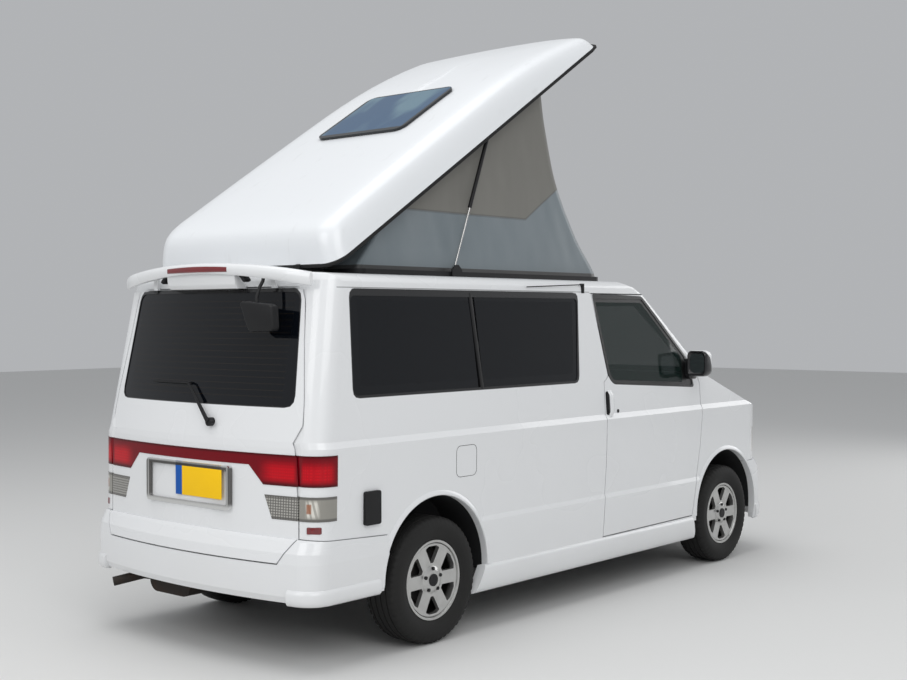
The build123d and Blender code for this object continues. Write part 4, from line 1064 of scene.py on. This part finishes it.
# Mirrors: a round edged housing each side, and the parking mirror at the rear
mirrorShape = {
    "place": (2.412, -0.910, 1.339),
    "half": (0.069, 0.083),
    "corner": 0.034,
    "profile": [(0.010, 0.70), (0.004, 0.74), (-0.001, 0.80), (-0.004, 0.90), (0.000, 0.97), (0.010, 1.0), (0.050, 1.0),
                (0.076, 0.94), (0.094, 0.82), (0.104, 0.62), (0.108, 0.35)],
    "cap": (0.107, 0.026, 0.031, 0.012, 4),
    "pane": (0.010, 0.050, 0.061, 0.024, 6),
    "arm": [(2.425, 1.262), (2.425, 1.352), (2.440, 1.372), (2.500, 1.330), (2.520, 1.268), (2.500, 1.236),
            (2.450, 1.236)],
    "armSide": -0.860,
    "armDepth": 0.052,
    "parking": [(-0.352, 1.708), (-0.372, 1.716), (-0.560, 1.702), (-0.582, 1.690), (-0.590, 1.590), (-0.578, 1.576),
                (-0.430, 1.572), (-0.412, 1.582)],
    "parkingRear": -0.866,
    "parkingDepth": 0.048,
    "stalk": [(-0.842, -0.455, 1.690), (-0.838, -0.449, 1.735), (-0.818, -0.446, 1.780), (-0.796, -0.445, 1.812),
              (-0.785, -0.445, 1.860)],
    "stalkRadius": 0.0085,
}


def facingLoop(deep, *loop):
    # a rounded outline across the door mirror, this deep in it
    x, y, z = mirrorShape["place"]
    return [(ahead(x + deep), y + a, z + b) for a, b in roundLoop(*loop)]


def makeMirrors():
    shape = mirrorShape
    half, high = shape["half"]
    rings = [facingLoop(deep, half * share, high * share, shape["corner"] * share, 6)
             for deep, share in shape["profile"]]
    housing = smoothed(skinned(rings, ends=False))
    cap = cutShape(facingLoop(*shape["cap"]), (0.002, 0, 0))
    arm = cutShape([(ahead(x), shape["armSide"], z) for x, z in shape["arm"]], (0, shape["armDepth"], 0), 0.010, 3)
    right = joined([housing, cap, smoothed(arm)])
    pane = cutShape(facingLoop(*shape["pane"]), (-0.003, 0, 0))
    left, leftPane = mirrored(right), mirrored(pane)
    for side, body, glass in (("right", right, pane), ("left", left, leftPane)):
        finishPiece(body, "mirrorHousing_" + side, "front_door_" + side, "body_white", "door_mirror_" + side)
        finishPiece(glass, "mirrorPane_" + side, "front_door_" + side, "mirror_glass")

    outline = [(ahead(shape["parkingRear"]), y, z) for y, z in shape["parking"]]
    parking = smoothed(cutShape(outline, (shape["parkingDepth"], 0, 0), 0.010, 3))
    stalk = tube([(ahead(x), y, z) for x, y, z in shape["stalk"]], shape["stalkRadius"])
    whole = joined([parking, stalk])
    finishPiece(whole, "parkingMirror", "tailgate", "trim_black", "under_mirror")


# Rear wiper: a bent arm from its spindle, lying over the glass
wiperShape = {
    "spindle": (-0.160, 1.138),
    "elbow": (0.030, 1.318),
    "bladeEnd": 0.345,
    "armWidth": 0.017,
    "armDepth": 0.009,
    "stand": 0.022,
    "bossRadius": 0.021,
    "knobRadius": 0.011,
    "holderRadius": 0.0045,
    "bladeRadius": 0.006,
}


def makeRearWiper():
    shape = wiperShape
    (y0, z0), (y1, z1) = shape["spindle"], shape["elbow"]
    foot = touch("tailgate", (-4, y0, z0), (1, 0, 0))
    bend = touch("tailgate_glass", (-4, y1, z1), (1, 0, 0))
    tip = touch("tailgate_glass", (-4, shape["bladeEnd"], z1), (1, 0, 0))
    back = Vector((-1, 0, 0))
    boss = tube([foot - back * 0.004, foot + back * 0.020, foot + back * 0.026], shape["bossRadius"], 20)
    aside = Vector((0, -0.026, 0))
    knob = tube([foot + back * 0.020 + aside, foot + back * 0.034 + aside], shape["knobRadius"], 14)
    start, end = foot + back * shape["stand"], bend + back * shape["stand"]
    side = Vector((0, -(z1 - z0), y1 - y0)).normalized() * shape["armWidth"] / 2
    arm = cutShape([start + side * 1.5, start - side * 1.5, end - side * 0.6, end + side * 0.6],
                   back * shape["armDepth"], 0.003)
    holder = tube([end, tip + back * (shape["stand"] - 0.006)], shape["holderRadius"], 8)
    blade = tube([end - back * 0.012, tip + back * 0.004], shape["bladeRadius"], 6)
    whole = joined([boss, knob, arm, holder, blade])
    finishPiece(whole, "rearWiperArm", "tailgate", "trim_black", "rear_wiper")


# Skirts and spats along the lower edge of the body
sillShape = {
    "stations": [(0.285, 0.60), (0.289, 0.60), (1.0, 0), (1.8, 0), (2.501, -0.18), (2.505, -0.18)],
    "foot": 0.206,
    "section": [(0.822, 0.3475), (0.840, 0.3465), (0.8485, 0.340), (0.8530, 0.326), (0.8545, 0.300), (0.8540, 0.262),
                (0.8490, 0.232), (0.8400, 0.212), (0.8280, 0.206), (0.796, 0.206), (0.796, 0.340)],
}
spatShape = {
    "rearHeights": (0.365, 0.40),
    "rearAcross": (-0.700, -0.725, -0.750, -0.770, -0.788, -0.804, -0.816, -0.826),
    "rearAlong": (-0.80, -0.76, -0.70, -0.60, -0.50, -0.425),
    "frontHeight": 0.32,
    "frontAlong": (3.318, 3.38, 3.45, 3.52, 3.58),
    "frontAcross": (-0.61, -0.54, -0.46),
    "rearSection": [(-0.030, 0.396), (0.001, 0.396), (0.009, 0.389), (0.013, 0.376), (0.014, 0.350), (0.010, 0.332),
                    (0.000, 0.322), (-0.020, 0.320), (-0.030, 0.326)],
    "frontSection": [(-0.030, 0.345), (0.001, 0.345), (0.010, 0.332), (0.014, 0.305), (0.012, 0.270), (0.002, 0.243),
                     (-0.018, 0.240), (-0.030, 0.248)],
}


def band(path, section):
    # a section carried along a path of points in plan, outwards to the right of the path
    rings = []
    for (x, y), run in runs(path):
        run.normalize()
        rings.append([(x + run.y * out, y - run.x * out, z) for out, z in section])
    return smoothed(skinned(rings))


def makeSills():
    shape = sillShape
    rings = [[(ahead(x + slant * max(0, z - shape["foot"])), -y, z) for y, z in shape["section"]]
             for x, slant in shape["stations"]]
    both = onBothSides(smoothed(skinned(rings)))
    finishPiece(both, "sillSkirts", "body", "bumper_white", "side_skirts")


def makeSpats():
    shape = spatShape
    low, high = shape["rearHeights"]
    path = [(touch("rear_bumper", (-4, y, low), (1, 0, 0)).x, y) for y in shape["rearAcross"]]
    path += [touch("rear_bumper", (ahead(x), -2, high), (0, 1, 0)).xy for x in shape["rearAlong"]]
    finishPiece(onBothSides(band(path, shape["rearSection"])), "rearSpats", "body", "bumper_white")
    height = shape["frontHeight"]
    path = [touch("front_bumper", (ahead(x), -2, height), (0, 1, 0)).xy for x in shape["frontAlong"]]
    path += [(touch("front_bumper", (4, y, height), (-1, 0, 0)).x, y) for y in shape["frontAcross"]]
    finishPiece(onBothSides(band(path, shape["frontSection"])), "frontSpats", "body", "bumper_white")


# Lips round the wheel openings
lipShape = {
    "inner": 0.3885,
    "section": [(0, 0.826), (0, 0.8445), (0.004, 0.8475), (0.015, 0.846), (0.027, 0.8375), (0.027, 0.826)],
    "turns": (-1.5, 181.5),
    "steps": 48,
}


def makeArchLips():
    shape = lipShape
    start, end = shape["turns"]
    lips = []
    for axle in (0.0, wheelbase):
        rings = []
        for step in range(shape["steps"] + 1):
            turn = radians(start + (end - start) * step / shape["steps"])
            reaches = [(shape["inner"] + out, y) for out, y in shape["section"]]
            rings.append([(ahead(axle) + reach * cos(turn), -y, paintShape["archHeight"] + reach * sin(turn))
                          for reach, y in reaches])
        lips.append(smoothed(skinned(rings)))
    finishPiece(onBothSides(joined(lips)), "archLips", "body", "body_white")


# Small fittings on the sides: door handles, lock, fuel flap seam, reflectors
fittingShape = {
    "handle": (1.559, 1.128),
    "handleHalf": (0.017, 0.078),
    "handleLift": 0.020,
    "handleSection": [(1, 0.4), (0.85, -0.6), (0.4, -1), (-0.4, -1), (-0.85, -0.6), (-1, 0.4), (-0.6, 1), (0.6, 1)],
    "recess": (1.542, 1.128),
    "recessHalf": (0.020, 0.070),
    "recessPlate": (0.012, 0.0012, 0.004),
    "lock": (1.644, 1.077),
    "lockRadius": 0.0105,
    "slideHandle": 1.392,
    "flap": (0.226, 0.903),
    "flapHalf": (0.081, 0.0805),
    "seam": 0.0022,
    "seamProud": 0.0007,
    "reflector": (0.792, 0.665),
    "reflectorHalf": (0.026, 0.016),
    "reflectorRings": [(1.0, -0.005), (1.0, 0.004), (0.94, 0.006), (0.6, 0.006), (0.2, 0.006)],
}


def onSide(node, x, z, stand=0.0):
    place = touch(node, (ahead(x), -2, z), (0, 1, 0))
    return Vector((place.x, place.y - stand, place.z))


def sidePlate(node, middle, half, corner, stand, sink):
    # a plate with rounded corners that follows the side of the van
    loop = roundLoop(*half, corner, 5)
    outer = [onSide(node, middle[0] + a, middle[1] + b, stand - 0.002) for a, b in loop]
    face = [onSide(node, middle[0] + a * 0.95, middle[1] + b * 0.97, stand) for a, b in loop]
    back = [point + Vector((0, sink + stand, 0)) for point in outer]
    return smoothed(skinned([back, outer, face]))


def makeSideFittings():
    shape = fittingShape
    recess = sidePlate("front_door_right", shape["recess"], shape["recessHalf"], *shape["recessPlate"])
    place = onSide("front_door_right", *shape["lock"])
    lock = tube([place + Vector((0, 0.004, 0)), place - Vector((0, 0.003, 0))], shape["lockRadius"], 16)
    dark = joined([recess, lock])
    x, z = shape["handle"]
    half, high = shape["handleHalf"]
    rings = []
    for step in range(13):
        share = step / 12
        lift = shape["handleLift"] * min(1.0, 5 * share, 5 * (1 - share)) + 0.001
        place = onSide("front_door_right", x, z - high + 2 * high * share, lift)
        wide = half * (0.82 if step in (0, 12) else 1.0)
        rings.append([place + Vector((wide * a, 0.0075 * b, 0)) for a, b in shape["handleSection"]])
    handle = smoothed(skinned(rings), 50)
    leftDark, leftHandle = mirrored(dark), mirrored(handle)
    finishPiece(dark, "handleRecess_right", "front_door_right", "trim_black")
    finishPiece(handle, "handleGrip_right", "front_door_right", "body_white")
    finishPiece(leftDark, "handleRecess_left", "front_door_left", "trim_black")
    finishPiece(leftHandle, "handleGrip_left", "front_door_left", "body_white")
    slideDark, slideHandle = copied(leftDark), copied(leftHandle)
    for piece, name, finish in ((slideDark, "slideRecess", "trim_black"), (slideHandle, "slideGrip", "body_white")):
        for vertex in piece.data.vertices:
            vertex.co.x += shape["slideHandle"] - x
        finishPiece(piece, name, "body", finish)

    (x, z), (half, high), seam = shape["flap"], shape["flapHalf"], shape["seam"]
    outer, inner = ([onSide("body_shell", x + a, z + b, shape["seamProud"]) for a, b in roundLoop(*size, 8)]
                    for size in ((half, high, 0.032), (half - seam, high - seam, 0.030)))
    sunk = [[point + Vector((0, 0.003, 0)) for point in loop] for loop in (outer, inner)]
    flap = smoothed(skinned([sunk[0], outer, inner, sunk[1], sunk[0]], ends=False))
    finishPiece(flap, "fuelFlapSeam", "body", "trim_black")

    y, z = shape["reflector"]
    loop = roundLoop(*shape["reflectorHalf"], 0.004, 3)
    markers = []
    for middle in (y, -y):
        rings = []
        for share, stand in shape["reflectorRings"]:
            face = [touch("body_shell", (-4, middle + a * share, z + b * share), (1, 0, 0)) for a, b in loop]
            rings.append([place - Vector((stand, 0, 0)) for place in face])
        markers.append(smoothed(skinned(rings)))
    finishPiece(joined(markers), "cornerReflectors", "body", "lamp_high")


# Black strips between the two side panes
dividerShape = {
    "section": [(-0.013, -0.014), (-0.013, -0.001), (-0.0091, 0.0), (0.0091, 0.0), (0.013, -0.001), (0.013, -0.014)],
    "skin": 0.826,
    "low": 1.262,
    "high": 1.765,
    "steps": 10,
}


def makeDividers():
    shape = dividerShape
    rings = []
    for step in range(shape["steps"] + 1):
        z = shape["low"] + (shape["high"] - shape["low"]) * step / shape["steps"]
        skin = shape["skin"] - (z - paintShape["belt"]) * paintShape["wallLean"]
        rings.append([(dividerAt(z) + a, -(skin + out), z) for a, out in shape["section"]])
    finishPiece(onBothSides(smoothed(skinned(rings))), "paneDividers", "body", "trim_black")


# Wheels: dark centre caps, nuts and the drum seen between the spokes
hubShape = {
    "capRadius": 0.031,
    "capProud": 0.004,
    "nuts": 5,
    "nutCircle": 0.057,
    "nutRadius": 0.0095,
    "drumSide": -0.705,
    "drumRadius": 0.172,
}


def makeHubs():
    shape = hubShape
    inward = Vector((0, 1, 0))
    for end, axle in (("front", wheelbase), ("rear", 0.0)):
        hub = touch(f"rim_{end}_right", (ahead(axle), -2, hubHeight), (0, 1, 0))
        cap = tube([hub + inward * 0.004, hub - inward * (shape["capProud"] - 0.001), hub - inward * shape["capProud"]],
                   shape["capRadius"], 28)
        nuts = []
        for index in range(shape["nuts"]):
            turn = pi / 2 + index * 2 * pi / shape["nuts"]
            out, up = shape["nutCircle"] * cos(turn), shape["nutCircle"] * sin(turn)
            place = Vector((ahead(axle) + out, hub.y, hubHeight + up))
            nuts.append(tube([place + inward * 0.010, place - inward * 0.004], shape["nutRadius"], 6))
        dark = joined([cap] + nuts)
        middle = Vector((ahead(axle), shape["drumSide"], hubHeight))
        drum = tube([middle + inward * 0.035, middle, middle - inward * 0.004], shape["drumRadius"], 48)
        for side, cover, disc in (("right", dark, drum), ("left", mirrored(dark), mirrored(drum))):
            finishPiece(cover, f"hubCap_{end}_{side}", f"wheel_{end}_{side}", "trim_black")
            finishPiece(disc, f"brakeDrum_{end}_{side}", f"wheel_{end}_{side}", "dark_iron")


# Tent: one wall of cloth round the roof opening, drawn in at the front edge
tentShape = {
    "foot": 1.8785,
    "halfWidth": 0.617,
    "rearFoot": -0.348,
    "rearHead": -0.006,
    "frontEdge": [(1.703, 1.8785), (1.688, 1.909), (1.496, 2.122), (1.305, 2.416), (1.206, 2.724), (1.161, 2.929)],
    "rows": 46,
    "around": 220,
    "sag": 0.010,
    "endSag": 0.020,
    "fold": 0.010,
    "crease": 0.004,
    "seat": 0.0597,
    "seam": [(1.027, 2.192), (1.365, 2.411)],
    "hem": 0.020,
    "clothWidth": 6.40,
    "seamShare": 1.02,
}


def roofRim(distance):
    # height of the raised roof's rim over a place behind or ahead of the rear axle
    rise = (distance - roofHinge[0]) * sin(roofTilt) / cos(roofTilt)
    return roofHinge[1] + rise + tentShape["seat"] / cos(roofTilt)


def frontEdge(height):
    # smooth curve through the measured points of the cloth's front edge
    edge = tentShape["frontEdge"]
    slopes = []
    for place in range(len(edge)):
        (lowX, lowZ), (highX, highZ) = edge[max(0, place - 1)], edge[min(len(edge) - 1, place + 1)]
        slopes.append((highX - lowX) / (highZ - lowZ))
    place = 0
    while place < len(edge) - 2 and height > edge[place + 1][1]:
        place += 1
    (lowX, lowZ), (highX, highZ) = edge[place], edge[place + 1]
    run = highZ - lowZ
    share = max(0.0, min(1.0, (height - lowZ) / run))
    return (lowX * (1 + 2 * share) * (1 - share) ** 2 + slopes[place] * run * share * (1 - share) ** 2
            + highX * share ** 2 * (3 - 2 * share) + slopes[place + 1] * run * share ** 2 * (share - 1))


def tentPoint(around, up):
    # around runs 0 to 4, one for each side: right, front, left, rear
    shape = tentShape
    half, foot, rearFoot, rearHead = shape["halfWidth"], shape["foot"], shape["rearFoot"], shape["rearHead"]
    frontFoot, frontHead = shape["frontEdge"][0][0], shape["frontEdge"][-1][0]
    side, share = int(around) % 4, around - int(around)
    bulge = sin(pi * up) * sin(pi * share)
    if side in (1, 3):
        endFoot, endHead = (frontFoot, frontHead) if side == 1 else (rearFoot, rearHead)
        z = foot + (roofRim(endHead) - foot) * up
        x = frontEdge(z) if side == 1 else endFoot + (endHead - endFoot) * up
        x += (-1 if side == 1 else 1) * shape["endSag"] * bulge
        y = -half + 2 * half * (share if side == 1 else 1 - share)
        return Vector((ahead(x), y, z))

    lengthwise = share if side == 0 else 1 - share
    footX = rearFoot + (frontFoot - rearFoot) * lengthwise
    headX = rearHead + (frontHead - rearHead) * lengthwise
    z = foot + (roofRim(headX) - foot) * up
    rear, front = (low + (high - low) * min(1, (z - foot) / (roofRim(high) - foot))
                   for low, high in ((rearFoot, rearHead), (frontFoot, frontHead)))
    pull = frontEdge(z) - front
    x = max(rear, footX + (headX - footX) * up + pull * lengthwise ** 2)
    y = (half - shape["sag"] * bulge) * (-1 if side == 0 else 1)
    return Vector((ahead(x), y, z))


def makeTent():
    shape = tentShape
    choose()
    bpy.ops.mesh.primitive_grid_add(x_subdivisions=shape["around"], y_subdivisions=shape["rows"], size=2)
    tent = bpy.context.object
    for vertex in tent.data.vertices:
        turn, up = (vertex.co.x + 1) / 2 * 4, (vertex.co.y + 1) / 2
        vertex.co = tentPoint(min(turn, 3.99999) if turn < 4 else 0.0, up)
    openMesh()
    bpy.ops.mesh.remove_doubles(threshold=0.0008)
    closeMesh()
    for vertex in tent.data.vertices:
        x, y, z = vertex.co
        fold = noise.noise(Vector((x * 2.4, y * 2.0, z * 0.9)))
        crease = noise.noise(Vector((x * 7.0 + z * 3.0, y * 5.0, z * 2.0)))
        hold = min(1, (z - shape["foot"]) * 8) * min(1, max(0, roofRim(x - rearAxle) - z) * 10)
        vertex.co.y += (-1 if y > 0 else 1) * (abs(fold) * shape["fold"] + abs(crease) * shape["crease"]) * hold
    bpy.ops.object.shade_smooth()
    finishPiece(tent, "tentCloth", "body", "tent_fabric", "tent")
    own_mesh(tent)


# Seats: crowned cushions with their edges drawn in
seatShape = {
    "front": [((0.77, 0.0, 0.765), (0.50, 0.50, 0.15), 0.0), ((0.535, 0.0, 1.03), (0.14, 0.48, 0.50), -0.16),
              ((0.485, 0.0, 1.315), (0.10, 0.26, 0.13), -0.10)],
    "frontMiddles": (-0.36, 0.36),
    "rear": [((-0.755, 0.0, 0.545), (0.50, 1.08, 0.15), 0.0), ((-1.07, 0.0, 0.93), (0.15, 1.08, 0.62), -0.14),
             ((-1.12, -0.30, 1.325), (0.10, 0.27, 0.13), -0.10), ((-1.12, 0.30, 1.325), (0.10, 0.27, 0.13), -0.10)],
    "crown": 0.16,
    "drawIn": 0.035,
    "fill": 0.8,
    "cuts": 9,
}


def cushion(place, size, lean):
    # a block cut up, with its faces crowned
    choose()
    bpy.ops.mesh.primitive_cube_add(size=1, location=(0, 0, 0))
    pad = bpy.context.object
    openMesh()
    bpy.ops.mesh.subdivide(number_cuts=seatShape["cuts"])
    bpy.ops.object.mode_set(mode="OBJECT")
    thin = min(size)
    for vertex in pad.data.vertices:
        point = vertex.co * 2
        full = [max(0.0, 1 - value * value) for value in point]
        scale = []
        for axis in range(3):
            others = full[(axis + 1) % 3] * full[(axis + 2) % 3]
            swell = thin * seatShape["crown"] * (others ** 0.6)
            scale.append(point[axis] * (size[axis] / 2 - thin * seatShape["crown"] + swell))
        ends = sum(1 for value in point if abs(value) > 0.98)
        draw = 1 - seatShape["drawIn"] * max(0, ends - 1)
        x, y, z = (value * draw for value in scale)
        vertex.co = (place[0] + x * cos(lean) + z * sin(lean), place[1] + y, place[2] - x * sin(lean) + z * cos(lean))
    applyModifier(pad, "SUBSURF", levels=1, render_levels=1)
    bpy.ops.object.shade_smooth()
    return pad


def makeSeats():
    pads = []
    for middle in seatShape["frontMiddles"]:
        for (x, y, z), size, lean in seatShape["front"]:
            pads.append(cushion((x, middle + y, z), size, lean))
    whole = joined(pads)
    finishPiece(whole, "frontSeatPads", "body", "seat_cloth", "front_seats")
    pads = [cushion(place, size, lean) for place, size, lean in seatShape["rear"]]
    whole = joined(pads)
    finishPiece(whole, "rearBenchPads", "body", "seat_cloth", "rear_bench")


# Tyres: tread blocks cut round a shaped carcass
tyreShape = {
    "radius": 0.320,
    "side": [(0.079, 0.2013), (0.086, 0.206), (0.094, 0.222), (0.0995, 0.242), (0.1022, 0.262), (0.1008, 0.281),
             (0.0945, 0.299), (0.0890, 0.3085), (0.0815, 0.3150), (0.0700, 0.3178)],
    "grooves": [(0.058, 0.052), (0.022, 0.016)],
    "grooveDepth": 0.0075,
    "turns": 168,
    "shoulder": (0.060, 0.098, 0.296),
    "shoulderCut": 0.0055,
    "rib": (0.024, 0.050),
    "ribCut": 0.0050,
}


def tyreSection():
    # half section from the bead to the crown, then the same mirrored
    shape = tyreShape
    half = list(shape["side"])
    for outer, inner in shape["grooves"]:
        rim, foot = (shape["radius"] - 0.0022 * (edge / 0.07) ** 2 for edge in (outer, inner))
        half += [(outer, rim), (outer - 0.0012, rim - shape["grooveDepth"])]
        half += [(inner, foot - shape["grooveDepth"]), (inner - 0.0012, foot)]
    return half + [(-y, r) for y, r in reversed(half)]


def makeTyres():
    shape = tyreShape
    section = tyreSection()
    choose()
    bpy.ops.mesh.primitive_circle_add(vertices=len(section), radius=1, fill_type="NOTHING")
    ring = bpy.context.object
    for vertex, (y, r) in zip(ring.data.vertices, section):
        vertex.co = (0, y, r)
    openMesh()
    bpy.ops.mesh.spin(steps=shape["turns"], angle=2 * pi, center=(0, 0, 0), axis=(0, 1, 0))
    bpy.ops.mesh.remove_doubles(threshold=0.0003)
    bpy.ops.mesh.normals_make_consistent(inside=False)
    bpy.ops.object.mode_set(mode="OBJECT")
    step = 2 * pi / shape["turns"]
    near, far, low = shape["shoulder"]
    for vertex in ring.data.vertices:
        y, r = vertex.co.y, hypot(vertex.co.x, vertex.co.z)
        turn = round(atan2(vertex.co.z, vertex.co.x) / step)
        cut = 0
        if near < abs(y) < far and r > low and (turn + (1 if y > 0 else 0)) % 3 == 0:
            cut = shape["shoulderCut"]
        if shape["rib"][0] < abs(y) < shape["rib"][1] and (turn + 2) % 4 == 0:
            cut = shape["ribCut"]
        vertex.co.x *= (r - cut) / r
        vertex.co.z *= (r - cut) / r
    ring.name = "tyreMaster"
    for end, axle in (("front", wheelbase), ("rear", 0.0)):
        for side, sign in (("left", 1), ("right", -1)):
            tyre = copied(ring)
            tyre.location = (ahead(axle), sign * trackHalf, hubHeight)
            finishPiece(tyre, f"tyreTread_{end}_{side}", f"wheel_{end}_{side}", "tyre_rubber", f"tyre_{end}_{side}")
            bpy.ops.object.shade_smooth_by_angle(angle=radians(28))
    bpy.data.objects.remove(ring)


# Number plate: blank yellow sheet with a blue strip, on the tailgate
plateShape = {
    "x": -0.9035,
    "centre": 0.854,
    "height": 0.165,
    "thick": 0.003,
    "corner": 0.0012,
    "yellow": (-0.265, 0.035),
    "blue": (0.035, 0.085),
}


def makePlate():
    shape = plateShape
    for piece, colour in (("plateSheet", "yellow"), ("plateStrip", "blue")):
        right, left = shape[colour]
        place = (ahead(shape["x"]), (left + right) / 2, shape["centre"])
        sheet = roundedBox((shape["thick"], left - right, shape["height"]), place, shape["corner"])
        finishPiece(sheet, piece, "tailgate", "plate_" + colour)


makeCamera()
makeWorld()
makeLamps()
makeFloor()
makeFinishes()
dressNodes()
print("nodes dressed")
makeRoof()
makeSpoiler()
makeMirrors()
makeRearWiper()
makeSills()
makeSpats()
makeArchLips()
makeSideFittings()
makeDividers()
makeHubs()
print("outer fittings made")
makeTent()
print("tent made")
makeSeats()
print("seats made")
makeTyres()
print("tyres made")
makePlate()
print("plate made")

bpy.context.scene.view_settings.view_transform = "Standard"
